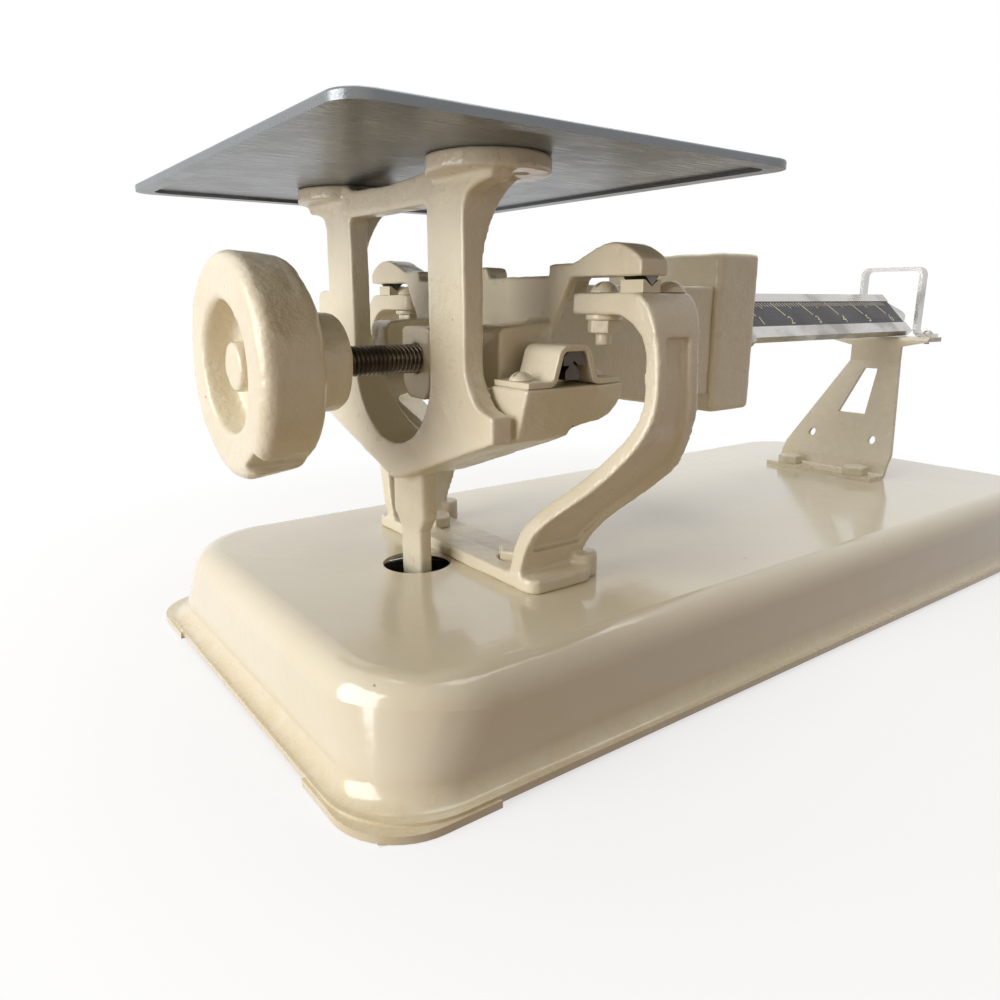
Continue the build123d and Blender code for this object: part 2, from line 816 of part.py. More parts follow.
# Counterweight box: an open-topped casting, its lead filling and its lid
box_centre_x = (box_left_x + box_right_x) / 2
box_length = box_right_x - box_left_x
lid_thickness = 3.0
with BuildPart() as counterweight_box:
    with BuildSketch(Plane.XY.offset(box_bottom_z)):
        with Locations((box_centre_x, 0)):
            RectangleRounded(box_length, 2 * box_half_width, 2.5)
    extrude(amount=box_top_z - box_bottom_z)
    fillet(counterweight_box.faces().sort_by(Axis.Z)[0].edges(), radius=2.4)
    fillet(counterweight_box.faces().sort_by(Axis.Z)[-1].edges(), radius=1.6)
    with BuildSketch(Plane.XY.offset(box_bottom_z + box_wall)):
        with Locations((box_centre_x, 0)):
            RectangleRounded(box_length - 2 * box_wall, 2 * (box_half_width - box_wall), 2.0)
    extrude(amount=box_top_z - box_bottom_z, mode=Mode.SUBTRACT)
    with BuildSketch(beam_slope_plane.offset(-web_half_thickness)):
        with Locations((box_right_x - box_wall / 2, 0)):
            Rectangle(box_wall + 1.0, 2 * beam_tang_half_width)
    extrude(amount=2 * web_half_thickness, mode=Mode.SUBTRACT)
counterweight_box.part.label = "counterweight_box"
export_step(counterweight_box.part, "parts/counterweight_box.step")

with BuildPart() as box_lid:
    with BuildSketch(Plane.XY.offset(box_top_z - lid_thickness)):
        with Locations((box_centre_x, 0)):
            RectangleRounded(
                box_length - 2 * box_wall - 2 * running_gap,
                2 * (box_half_width - box_wall) - 2 * running_gap,
                2.0,
            )
    extrude(amount=lid_thickness)
    fillet(box_lid.faces().sort_by(Axis.Z)[-1].edges(), radius=0.5)
    with Locations((box_centre_x, 0, box_top_z)):
        with GridLocations(0, 2 * lid_screw_y, 1, 2):
            CounterSinkHole(
                radius=flat_screw_radius + running_gap,
                counter_sink_radius=flat_screw_head_radius + running_gap,
                depth=2 * lid_thickness,
                counter_sink_angle=90,
            )
box_lid.part.label = "box_lid"
export_step(box_lid.part, "parts/box_lid.step")

with BuildPart() as lead_filling:
    with BuildSketch(Plane.XY.offset(box_bottom_z + box_wall)):
        with Locations((box_centre_x, 0)):
            RectangleRounded(box_length - 2 * box_wall, 2 * (box_half_width - box_wall), 2.0)
    extrude(amount=box_top_z - lid_thickness - box_bottom_z - box_wall)
    with BuildSketch(beam_slope_plane.offset(-web_half_thickness)):
        with Locations((box_right_x - beam_tang / 2, 0)):
            Rectangle(beam_tang, 2 * beam_tang_half_width)
    extrude(amount=2 * web_half_thickness, mode=Mode.SUBTRACT)
    with Locations((box_centre_x, 0, box_top_z - lid_thickness)):
        with GridLocations(0, 2 * lid_screw_y, 1, 2):
            Hole(radius=flat_screw_radius + running_gap, depth=flat_screw_length - lid_thickness + 0.4)
lead_filling.part.label = "lead_filling"
export_step(lead_filling.part, "parts/lead_filling.step")

# Graduated beam
with BuildPart() as graduated_beam:
    with BuildSketch(beam_section_plane.offset(box_right_x)):
        with BuildLine():
            Polyline(
                (beam_low_s, -rail_half_thickness),
                (beam_low_s, rail_half_thickness),
                (band_low_s, rail_half_thickness),
                (band_low_s, web_half_thickness),
                (band_high_s, web_half_thickness),
                (band_high_s, rail_half_thickness),
                (beam_high_s, rail_half_thickness),
                (beam_high_s, -rail_half_thickness),
                (band_high_s, -rail_half_thickness),
                (band_high_s, -web_half_thickness),
                (band_low_s, -web_half_thickness),
                (band_low_s, -rail_half_thickness),
                close=True,
            )
        make_face()
    extrude(amount=beam_end_x - box_right_x)
    with BuildSketch(beam_slope_plane.offset(-web_half_thickness)):
        with Locations((box_right_x - beam_tang / 2, 0)):
            Rectangle(beam_tang, 2 * beam_tang_half_width)
        with BuildLine():
            Polyline(
                (beam_end_x, band_low_s),
                (beam_tip_x, -1.5),
                (beam_tip_x, 1.5),
                (beam_end_x, band_high_s),
                close=True,
            )
        make_face()
    extrude(amount=2 * web_half_thickness)
graduated_beam.part.label = "graduated_beam"
export_step(graduated_beam.part, "parts/graduated_beam.step")


def flat_screw():
    """A countersunk slotted screw whose head is flush with the origin."""
    head_cone = flat_screw_head_radius - flat_screw_radius
    with BuildPart() as screw:
        with BuildSketch(Plane.XZ):
            with BuildLine():
                Polyline(
                    (0, 0),
                    (flat_screw_head_radius, 0),
                    (flat_screw_radius, -head_cone),
                    (flat_screw_radius, -flat_screw_length),
                    (0, -flat_screw_length),
                    close=True,
                )
            make_face()
        revolve(axis=Axis.Z)
        with BuildSketch():
            Rectangle(2.2 * flat_screw_head_radius, screw_slot_width)
        extrude(amount=-0.9, mode=Mode.SUBTRACT)
    return screw.part


# Screws of the box lid
sunk_screw = flat_screw()
with BuildPart() as lid_screws:
    with Locations((box_centre_x, 0, box_top_z)):
        with GridLocations(0, 2 * lid_screw_y, 1, 2):
            add(sunk_screw)
lid_screws.part.label = "lid_screws"
export_step(lid_screws.part, "parts/lid_screws.step")

# Black scale plate in the recess of the beam
plate_left_x = box_right_x + 1.0
plate_right_x = beam_end_x - 1.0
plate_side_gap = 0.2
with BuildPart() as scale_plate:
    with BuildSketch(beam_slope_plane.offset(web_half_thickness)):
        with Locations(((plate_left_x + plate_right_x) / 2, (band_low_s + band_high_s) / 2)):
            Rectangle(plate_right_x - plate_left_x, band_height - 2 * plate_side_gap)
    extrude(amount=scale_plate_thickness)
scale_plate.part.label = "scale_plate"
export_step(scale_plate.part, "parts/scale_plate.step")

# Poises: each is a sleeve that is open towards the other, with a lip behind its rail
rail_slide_n = rail_half_thickness + poise_gap
lip_n = web_half_thickness + poise_gap
main_outer_n = rail_slide_n + main_poise_wall
main_low_s = beam_low_s - poise_gap - main_poise_wall
main_high_s = band_high_s - 4.0
with BuildPart() as main_poise:
    with BuildSketch(beam_section_plane.offset(poise_start_x)):
        with BuildLine():
            Polyline(
                (main_low_s, -main_outer_n),
                (main_high_s, -main_outer_n),
                (main_high_s, -lip_n),
                (band_low_s + poise_gap, -lip_n),
                (band_low_s + poise_gap, -rail_slide_n),
                (beam_low_s - poise_gap, -rail_slide_n),
                (beam_low_s - poise_gap, rail_slide_n),
                (main_high_s, rail_slide_n),
                (main_high_s, main_outer_n),
                (main_low_s, main_outer_n),
                close=True,
            )
        make_face()
        fillet(vertices().group_by(Axis.X)[0], radius=3.0)
    extrude(amount=poise_length)
    with BuildSketch(beam_slope_plane.offset(rail_slide_n)):
        with Locations((poise_start_x + poise_length / 2, (band_low_s + main_high_s) / 2 + 2.0)):
            Rectangle(9.0, main_high_s - band_low_s)
    extrude(amount=2 * main_poise_wall, mode=Mode.SUBTRACT)
main_poise.part.label = "main_poise"
export_step(main_poise.part, "parts/main_poise.step")

small_outer_n = rail_slide_n + small_poise_wall
small_low_s = band_high_s - 2.5
small_high_s = beam_high_s + poise_gap + small_poise_wall
with BuildPart() as small_poise:
    with BuildSketch(beam_section_plane.offset(poise_start_x)):
        with BuildLine():
            Polyline(
                (small_high_s, -small_outer_n),
                (small_high_s, small_outer_n),
                (small_low_s, small_outer_n),
                (small_low_s, rail_slide_n),
                (beam_high_s + poise_gap, rail_slide_n),
                (beam_high_s + poise_gap, -rail_slide_n),
                (band_high_s - poise_gap, -rail_slide_n),
                (band_high_s - poise_gap, -lip_n),
                (small_low_s, -lip_n),
                (small_low_s, -small_outer_n),
                close=True,
            )
        make_face()
        fillet(vertices().group_by(Axis.X)[-1], radius=2.0)
    extrude(amount=poise_length)
small_poise.part.label = "small_poise"
export_step(small_poise.part, "parts/small_poise.step")

# Balance weight: a dished wheel on a thread
rod_line_plane = Plane(origin=(0, 0, rod_z), x_dir=(1, 0, 0), z_dir=(0, -1, 0))
recess_floor_x = wheel_front_x + recess_depth
boss_front_x = recess_floor_x - boss_height
bore_radius = rod_radius + thread_clearance
bore_bottom_x = rod_end_x - balance_travel - 2.0
rim_slot_angle = 57.0
rim_slot_width = 11.0
rim_slot_depth = 4.5
with BuildPart() as balance_weight:
    with BuildSketch(rod_line_plane):
        with BuildLine():
            Polyline(
                (boss_front_x, 0),
                (boss_front_x, boss_radius),
                (recess_floor_x, boss_radius + 0.6),
                (recess_floor_x, recess_radius - 2.0),
                (wheel_front_x, recess_radius),
                (wheel_front_x, wheel_front_radius),
                (wheel_back_x, wheel_back_radius),
                (wheel_back_x, back_groove_radius),
                (wheel_back_x - back_groove_depth, back_groove_radius),
                (wheel_back_x - back_groove_depth, hub_radius),
                (hub_end_x, hub_radius - 1.0),
                (hub_end_x, bore_radius),
                (bore_bottom_x, bore_radius),
                (bore_bottom_x, 0),
                close=True,
            )
        make_face()
        fillet(
            vertices().filter_by(lambda v: v.Y > back_groove_radius + 1.0), radius=wheel_rim_fillet
        )
        fillet(vertices().filter_by(lambda v: abs(v.Y - back_groove_radius) < 0.1), radius=1.2)
        fillet(vertices().filter_by(lambda v: abs(v.Y - recess_radius) < 0.1), radius=2.2)
        fillet(vertices().filter_by(lambda v: abs(v.Y - recess_radius + 2.0) < 0.1), radius=2.5)
        fillet(vertices().filter_by(lambda v: abs(v.Y - hub_radius) < 0.1), radius=2.5)
        fillet(vertices().filter_by(lambda v: abs(v.Y - hub_radius + 1.0) < 0.1), radius=2.5)
        fillet(vertices().filter_by(lambda v: abs(v.Y - boss_radius) < 0.1), radius=1.5)
    revolve(axis=Axis((0, 0, rod_z), (1, 0, 0)))
    with BuildSketch(Plane.YZ.offset(wheel_front_x - 1.0)):
        with Locations(Location((0, rod_z), rim_slot_angle)):
            with Locations((-wheel_front_radius, 0)):
                Rectangle(2 * rim_slot_depth, rim_slot_width)
    extrude(amount=wheel_width + 2.0, mode=Mode.SUBTRACT)
balance_weight.part.label = "balance_weight"
export_step(balance_weight.part, "parts/balance_weight.step")

with BuildPart() as balance_washer:
    with BuildSketch(Plane.YZ.offset(hub_end_x + running_gap)):
        with Locations((0, rod_z)):
            Circle(washer_radius)
            Circle(bore_radius, mode=Mode.SUBTRACT)
    extrude(amount=washer_thickness)
balance_washer.part.label = "balance_washer"
export_step(balance_washer.part, "parts/balance_washer.step")

with BuildPart() as balance_rod:
    with BuildSketch(Plane.YZ.offset(rod_end_x)):
        with Locations((0, rod_z)):
            Circle(rod_radius)
    extrude(amount=wall_back_x - rod_end_x)
    chamfer(balance_rod.faces().sort_by(Axis.X)[0].edges(), length=1.2)
balance_rod.part.label = "balance_rod"
export_step(balance_rod.part, "parts/balance_rod.step")

# Platform carrier casting, with its stem that reaches down through the pan
window_arc_z = window_bottom_z + upright_inner_y
window_lip = 5.0
carrier_back_x = carrier_front_x + carrier_thickness
front_reach_y = 66.0
pad_underside_z = platter_z - pad_thickness
gusset_back_x = -141.5
gusset_low_z = 150.0
gusset_inner_y = upright_inner_y + 3.0
gusset_width = upright_outer_y - gusset_inner_y
stem_taper = 6.0
strap_screw_y = (load_block_inner_y + v_reach_y) / 2
strap_screw_places = [
    (x, side * strap_screw_y, load_block_top_z)
    for x in (load_block_left_x + strap_screw_left_inset, load_block_right_x - strap_screw_right_inset)
    for side in (-1, 1)
]
platter_screw_places = [
    (pad_x + 6.0, side * (pad_y + step), platter_z) for side in (-1, 1) for step in (-9.0, 9.0)
]
strap_screw_depth = 8.0
with BuildPart() as carrier_frame:
    # face of the frame, with flared feet, notched top bar and arched shoulders
    with BuildSketch(Plane.YZ.offset(carrier_front_x)):
        with BuildLine():
            Polyline(
                (upright_outer_y, 122.0),
                (upright_outer_y, 168.0),
                (52.4, 172.2),
                (57.5, 174.2),
                (front_reach_y, 175.4),
                (front_reach_y, pad_underside_z + 0.5),
                (35.0, pad_underside_z + 0.5),
                (31.0, 183.0),
                (26.0, 181.0),
                (8.0, 180.0),
                (0, 179.8),
                (0, v_centre_z),
                (front_reach_y, v_centre_z + v_slope * front_reach_y),
                (front_reach_y, 103.9),
            )
            Spline(
                (front_reach_y, 103.9),
                (63.2, 104.6),
                (57.7, 106.2),
                (53.8, 110.4),
                (51.5, 115.0),
                (upright_outer_y, 122.0),
            )
        make_face()
        mirror(about=Plane.YZ)
        fillet(vertices().group_by(Axis.Y)[0], radius=12.0)
        with Locations((0, (window_arc_z + window_top_z) / 2)):
            Rectangle(2 * upright_inner_y, window_top_z - window_arc_z, mode=Mode.SUBTRACT)
        with Locations((0, window_arc_z)):
            Circle(upright_inner_y, mode=Mode.SUBTRACT)
    extrude(amount=carrier_thickness)
    # slanted lip round the lower half of the window
    with BuildSketch(Plane.YZ.offset(carrier_back_x)):
        with Locations((0, window_arc_z)):
            Circle(upright_inner_y + window_lip)
        with Locations((0, window_bottom_z - window_lip)):
            Rectangle(24.0, 2 * window_lip)
        with Locations((0, window_arc_z)):
            Circle(upright_inner_y, mode=Mode.SUBTRACT)
        with Locations((0, window_arc_z + upright_inner_y + 10.0)):
            Rectangle(4 * upright_inner_y, 2 * upright_inner_y, mode=Mode.SUBTRACT)
    extrude(amount=14.0)
    with BuildSketch(Plane.XZ.offset(-2 * upright_inner_y)):
        with BuildLine():
            Polyline(
                (carrier_back_x, window_arc_z + 12.0),
                (carrier_back_x + 20.0, window_arc_z + 12.0),
                (carrier_back_x + 20.0, window_bottom_z - 4.0),
                (carrier_back_x + 12.5, window_bottom_z - 4.0),
                close=True,
            )
        make_face()
    extrude(amount=4 * upright_inner_y, mode=Mode.SUBTRACT)
    # sloping bottom flanges
    with BuildSketch(Plane.YZ.offset(carrier_back_x - 2.0)):
        with BuildLine():
            Polyline(
                (0, v_centre_z),
                (load_block_inner_y + 4.0, v_centre_z + v_slope * (load_block_inner_y + 4.0)),
                (load_block_inner_y + 4.0, v_centre_z + v_slope * (load_block_inner_y + 4.0) + v_plate),
                (0, v_centre_z + v_plate),
                close=True,
            )
        make_face()
        mirror(about=Plane.YZ)
        fillet(vertices().group_by(Axis.Y)[0], radius=12.0)
    extrude(amount=v_back_x - carrier_back_x + 2.0)
    # load blocks, tied to the face
    with BuildSketch(Plane.YZ.offset(load_block_left_x)):
        with BuildLine():
            Polyline(
                (load_block_inner_y, v_centre_z + v_slope * load_block_inner_y),
                (front_reach_y, v_centre_z + v_slope * front_reach_y),
                (v_reach_y, load_block_top_z),
                (load_block_inner_y, load_block_top_z),
                close=True,
            )
        make_face()
        fillet(vertices().sort_by(Axis.X)[-2], radius=5.0)
        mirror(about=Plane.YZ)
    extrude(amount=load_block_right_x - load_block_left_x)
    with BuildSketch(Plane.YZ.offset(carrier_back_x - 1.0)):
        with BuildLine():
            Polyline(
                (load_block_inner_y - 6.0, v_centre_z + v_slope * (load_block_inner_y - 6.0)),
                (front_reach_y - 3.0, v_centre_z + v_slope * (front_reach_y - 3.0)),
                (front_reach_y - 3.0, 103.0),
                (load_block_inner_y - 6.0, 103.0),
                close=True,
            )
        make_face()
        mirror(about=Plane.YZ)
    extrude(amount=load_block_left_x - carrier_back_x + 2.0)
    with BuildSketch(Plane.XZ.offset(-v_reach_y - 1.0)):
        with BuildLine():
            Polyline(
                (load_block_right_x, 108.0),
                (load_block_right_x + 2.0, 108.0),
                (load_block_right_x + 2.0, v_centre_z),
                (v_back_x, v_centre_z),
                (v_back_x, 97.8),
                (-122.0, 99.6),
            )
            RadiusArc((-122.0, 99.6), (load_block_right_x, 108.0), -10.0)
        make_face()
    extrude(amount=2 * v_reach_y + 2.0, mode=Mode.SUBTRACT)
    # pads under the platter, and the gussets behind the uprights
    with BuildSketch(Plane.XY.offset(pad_underside_z)):
        with Locations((pad_x, 0)):
            with GridLocations(0, 2 * pad_y, 1, 2):
                Circle(pad_radius)
    extrude(amount=pad_thickness)
    for gusset_start_y in (gusset_inner_y, -upright_outer_y):
        with BuildSketch(Plane.XZ.offset(gusset_start_y)):
            with BuildLine():
                TangentArc(
                    (carrier_back_x, gusset_low_z), (gusset_back_x, pad_underside_z), tangent=(0, 1)
                )
                Polyline(
                    (gusset_back_x, pad_underside_z),
                    (carrier_back_x - 1.0, pad_underside_z),
                    (carrier_back_x - 1.0, gusset_low_z),
                    (carrier_back_x, gusset_low_z),
                )
            make_face()
        extrude(amount=gusset_width)
    # lug on the far upright
    with BuildSketch(Plane.YZ.offset(carrier_front_x)):
        with Locations((upright_outer_y + 4.0, 132.0)):
            RectangleRounded(14.0, 24.0, 4.0)
    extrude(amount=6.0)
    # stem
    with BuildSketch(Plane.XY.offset(stem_shoulder_z)):
        with Locations((stem_x, 0)):
            RectangleRounded(stem_upper_thickness, 2 * stem_upper_half_width, 1.5)
    extrude(amount=v_centre_z + v_plate - stem_shoulder_z)
    with BuildSketch(Plane.XY.offset(stem_shoulder_z)):
        with Locations((stem_x, 0)):
            RectangleRounded(stem_upper_thickness, 2 * stem_upper_half_width, 1.5)
    with BuildSketch(Plane.XY.offset(stem_shoulder_z - stem_taper)):
        with Locations((stem_x, 0)):
            RectangleRounded(stem_lower_thickness, 2 * stem_lower_half_width, 1.5)
    loft()
    # screw holes
    with Locations(*strap_screw_places):
        Hole(radius=strap_screw_radius + running_gap, depth=strap_screw_depth + 0.5)
    with Locations(*platter_screw_places):
        Hole(radius=flat_screw_radius + running_gap, depth=flat_screw_length)
carrier_frame.part.label = "carrier_frame"
export_step(carrier_frame.part, "parts/carrier_frame.step")

# Stem under the carrier's collar, with the bore of its pin
with BuildPart() as carrier_stem:
    with BuildSketch(Plane.XY.offset(stem_end_z)):
        with Locations((stem_x, 0)):
            RectangleRounded(stem_lower_thickness, 2 * stem_lower_half_width, 1.5)
    extrude(amount=stem_shoulder_z - stem_taper - stem_end_z)
    with BuildSketch(Plane.XZ.offset(-stem_lower_half_width)):
        with Locations((stem_x, check_z)):
            Circle(check_pin_radius)
    extrude(amount=2 * stem_lower_half_width, mode=Mode.SUBTRACT)
carrier_stem.part.label = "carrier_stem"
export_step(carrier_stem.part, "parts/carrier_stem.step")

with BuildPart() as stem_pin:
    stem_pin_reach = link_bar_half_gap + link_bar_thickness + 1.0
    with BuildSketch(Plane.XZ.offset(-stem_pin_reach)):
        with Locations((stem_x, check_z)):
            Circle(check_pin_radius)
    extrude(amount=2 * stem_pin_reach)
stem_pin.part.label = "stem_pin"
export_step(stem_pin.part, "parts/stem_pin.step")

# Load straps, the bearings under their humps, and their screws
strap_mid_z = load_block_top_z + strap_sheet / 2
hump_mid_z = load_block_top_z + strap_hump_height - strap_sheet / 2
hump_mid_half = strap_hump_half_width - strap_sheet / 2
strap_near_y = load_block_inner_y + strap_inset
strap_width = v_reach_y - load_block_inner_y - 2 * strap_inset
strap_top_places = [(x, y, z + strap_sheet) for x, y, z in strap_screw_places]
with BuildPart() as load_straps:
    with BuildSketch(Plane.XZ.offset(strap_near_y)):
        with BuildLine():
            FilletPolyline(
                (load_block_left_x + strap_inset, strap_mid_z),
                (load_x - hump_mid_half - strap_flare, strap_mid_z),
                (load_x - hump_mid_half, hump_mid_z),
                (load_x + hump_mid_half, hump_mid_z),
                (load_x + hump_mid_half + strap_flare, strap_mid_z),
                (load_block_right_x - strap_inset, strap_mid_z),
                radius=3.0,
            )
        trace(line_width=strap_sheet)
    extrude(amount=strap_width)
    mirror(about=Plane.XZ)
    with Locations(*strap_top_places):
        Hole(radius=strap_screw_radius + running_gap, depth=2 * strap_sheet)
load_straps.part.label = "load_straps"
export_step(load_straps.part, "parts/load_straps.step")

load_bearing_half = strap_hump_half_width - strap_sheet
load_bearing_chamfer = 2.0
load_bearing_top_z = load_block_top_z + strap_hump_height - strap_sheet
load_bearing_bottom_z = load_z - 1.2
load_groove_z = load_z + knife_gap
load_groove_half = (load_groove_z - load_bearing_bottom_z) * 1.4
with BuildPart() as load_bearings:
    with BuildSketch(Plane.XZ.offset(strap_near_y + 1.0)):
        with BuildLine():
            Polyline(
                (load_x - load_bearing_half, load_bearing_bottom_z),
                (load_x - load_groove_half, load_bearing_bottom_z),
                (load_x, load_groove_z),
                (load_x + load_groove_half, load_bearing_bottom_z),
                (load_x + load_bearing_half, load_bearing_bottom_z),
                (load_x + load_bearing_half, load_bearing_top_z - load_bearing_chamfer),
                (load_x + load_bearing_half - load_bearing_chamfer, load_bearing_top_z),
                (load_x - load_bearing_half + load_bearing_chamfer, load_bearing_top_z),
                (load_x - load_bearing_half, load_bearing_top_z - load_bearing_chamfer),
                close=True,
            )
        make_face()
    extrude(amount=strap_width - 2.0)
    mirror(about=Plane.XZ)
load_bearings.part.label = "load_bearings"
export_step(load_bearings.part, "parts/load_bearings.step")

strap_screw = round_head_screw(
    strap_screw_head_radius, strap_screw_head_height, strap_screw_radius, strap_sheet + strap_screw_depth
)
with BuildPart() as strap_screws:
    with Locations(*strap_top_places):
        add(strap_screw)
strap_screws.part.label = "strap_screws"
export_step(strap_screws.part, "parts/strap_screws.step")

# Platter with its folded hem
platter_top_z = platter_z + platter_sheet
platter_length = platter_right_x - platter_left_x
platter_centre_x = (platter_left_x + platter_right_x) / 2
platter_top_places = [(x, y, platter_top_z) for x, y, z in platter_screw_places]
with BuildPart() as platter:
    with BuildSketch(Plane.XY.offset(platter_z)):
        with Locations((platter_centre_x, 0)):
            RectangleRounded(platter_length, 2 * platter_half_width, platter_corner_radius)
    extrude(amount=platter_sheet)
    with BuildSketch(Plane.XY.offset(platter_z - platter_hem_drop)):
        with Locations((platter_centre_x, 0)):
            RectangleRounded(platter_length, 2 * platter_half_width, platter_corner_radius)
            RectangleRounded(
                platter_length - 2 * platter_hem_width,
                2 * (platter_half_width - platter_hem_width),
                platter_corner_radius - 4.0,
                mode=Mode.SUBTRACT,
            )
    extrude(amount=platter_hem_drop)
    fillet(platter.faces().sort_by(Axis.Z)[-1].edges(), radius=0.9)
    with Locations(*platter_top_places):
        CounterSinkHole(
            radius=flat_screw_radius + running_gap,
            counter_sink_radius=flat_screw_head_radius + running_gap,
            depth=3 * platter_sheet,
            counter_sink_angle=90,
        )
platter.part.label = "platter"
export_step(platter.part, "parts/platter.step")

with BuildPart() as platter_screws:
    with Locations(*platter_top_places):
        add(sunk_screw)
platter_screws.part.label = "platter_screws"
export_step(platter_screws.part, "parts/platter_screws.step")

# Check link: two bars joined by a web, slotted at the stem pin
link_bore_radius = check_pin_radius + thread_clearance
with BuildPart() as check_link:
    with BuildSketch(Plane.XZ.offset(link_bar_half_gap)):
        with Locations(((stem_x + anchor_x) / 2, check_z)):
            SlotCenterToCenter(link_length, link_bar_height)
        with Locations((anchor_x, check_z)):
            Circle(link_bore_radius, mode=Mode.SUBTRACT)
        with Locations((stem_x + slot_reach / 2, check_z)):
            SlotCenterToCenter(slot_reach, 2 * link_bore_radius, mode=Mode.SUBTRACT)
    extrude(amount=link_bar_thickness)
    mirror(about=Plane.XZ)
    with BuildSketch(Plane.XY.offset(check_z - 1.5)):
        with Locations(((stem_x + anchor_x) / 2, 0)):
            Rectangle(12.0, 2 * link_bar_half_gap + 2.0)
    extrude(amount=3.0)
check_link.part.label = "check_link"
export_step(check_link.part, "parts/check_link.step")

# Beam stand: one bent sheet, trimmed to a triangle with a window
half_sheet = beam_stand_sheet / 2
shelf_mid_z = shelf_top_z - half_sheet
shelf_half_width = loop_half_width + loop_foot_reach + 2.0
with BuildPart() as beam_stand:
    with BuildSketch(Plane.XZ.offset(-beam_stand_half_width)):
        with BuildLine():
            FilletPolyline(
                (beam_stand_foot_left_x, base_height + half_sheet),
                (beam_stand_bend_x, base_height + half_sheet),
                (beam_stand_ridge_x, beam_stand_ridge_z),
                (neck_x, neck_bottom_z),
                (neck_x, shelf_mid_z),
                (shelf_right_x, shelf_mid_z),
                radius=2.5,
            )
        trace(line_width=beam_stand_sheet)
    extrude(amount=2 * beam_stand_half_width)
    with BuildSketch(Plane.YZ.offset(beam_stand_foot_left_x - 1.0)):
        with BuildLine():
            Polyline(
                (0, base_height),
                (beam_stand_half_width, base_height),
                (beam_stand_half_width, 50.0),
                (neck_half_width, neck_bottom_z),
                (neck_half_width, 112.0),
                (shelf_half_width, shelf_top_z - beam_stand_sheet),
                (shelf_half_width, shelf_top_z),
                (0, shelf_top_z),
                close=True,
            )
        make_face()
        mirror(about=Plane.YZ)
        with BuildLine():
            Polyline((-9.0, 71.0), (9.0, 71.0), (4.5, 98.0), (-4.5, 98.0), close=True)
        make_face(mode=Mode.SUBTRACT)
        with Locations((-20.0, 57.0), (20.0, 57.0)):
            Circle(2.4, mode=Mode.SUBTRACT)
    extrude(amount=shelf_right_x - beam_stand_foot_left_x + 2.0, mode=Mode.INTERSECT)
    with Locations((beam_bolt_x, 0, base_height + beam_stand_sheet)):
        with GridLocations(0, 2 * beam_bolt_y, 1, 2):
            Hole(radius=foot_bolt_radius + running_gap, depth=2 * beam_stand_sheet)
    loop_screw_y = loop_half_width + loop_sheet + loop_foot_reach / 2
    with Locations((loop_x, 0, shelf_top_z)):
        with GridLocations(0, 2 * loop_screw_y, 1, 2):
            Hole(radius=loop_screw_radius + running_gap, depth=2 * beam_stand_sheet)
beam_stand.part.label = "beam_stand"
export_step(beam_stand.part, "parts/beam_stand.step")

beam_bolt = hex_bolt(beam_stand_sheet + pan_wall + bolt_end_allowance)
with BuildPart() as beam_stand_bolts:
    with Locations((beam_bolt_x, 0, base_height + beam_stand_sheet)):
        with GridLocations(0, 2 * beam_bolt_y, 1, 2):
            add(beam_bolt)
beam_stand_bolts.part.label = "beam_stand_bolts"
export_step(beam_stand_bolts.part, "parts/beam_stand_bolts.step")

with BuildPart() as beam_stand_nuts:
    with Locations((beam_bolt_x, 0, pan_top_underside)):
        with GridLocations(0, 2 * beam_bolt_y, 1, 2):
            add(nut)
beam_stand_nuts.part.label = "beam_stand_nuts"
export_step(beam_stand_nuts.part, "parts/beam_stand_nuts.step")

# Trig loop: a bent strip over the beam's end, screwed to the shelf
loop_mid_y = loop_half_width + loop_sheet / 2
with BuildPart() as trig_loop:
    with BuildSketch(Plane.YZ.offset(loop_x - loop_strip / 2)):
        with BuildLine():
            FilletPolyline(
                (-loop_mid_y - loop_foot_reach, shelf_top_z + loop_sheet / 2),
                (-loop_mid_y, shelf_top_z + loop_sheet / 2),
                (-loop_mid_y, shelf_top_z + loop_height - loop_sheet / 2),
                (loop_mid_y, shelf_top_z + loop_height - loop_sheet / 2),
                (loop_mid_y, shelf_top_z + loop_sheet / 2),
                (loop_mid_y + loop_foot_reach, shelf_top_z + loop_sheet / 2),
                radius=loop_corner_radius,
            )
        trace(line_width=loop_sheet)
    extrude(amount=loop_strip)
    with Locations((loop_x, 0, shelf_top_z + loop_sheet)):
        with GridLocations(0, 2 * loop_screw_y, 1, 2):
            Hole(radius=loop_screw_radius + running_gap, depth=2 * loop_sheet)
trig_loop.part.label = "trig_loop"
export_step(trig_loop.part, "parts/trig_loop.step")

loop_screw = round_head_screw(
    loop_screw_head_radius, 2.0, loop_screw_radius, loop_sheet + beam_stand_sheet + 1.5
)
with BuildPart() as loop_screws:
    with Locations((loop_x, 0, shelf_top_z + loop_sheet)):
        with GridLocations(0, 2 * loop_screw_y, 1, 2):
            add(loop_screw)
loop_screws.part.label = "loop_screws"
export_step(loop_screws.part, "parts/loop_screws.step")
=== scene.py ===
import math

import bmesh
import bpy
from mathutils import Matrix, Vector, noise


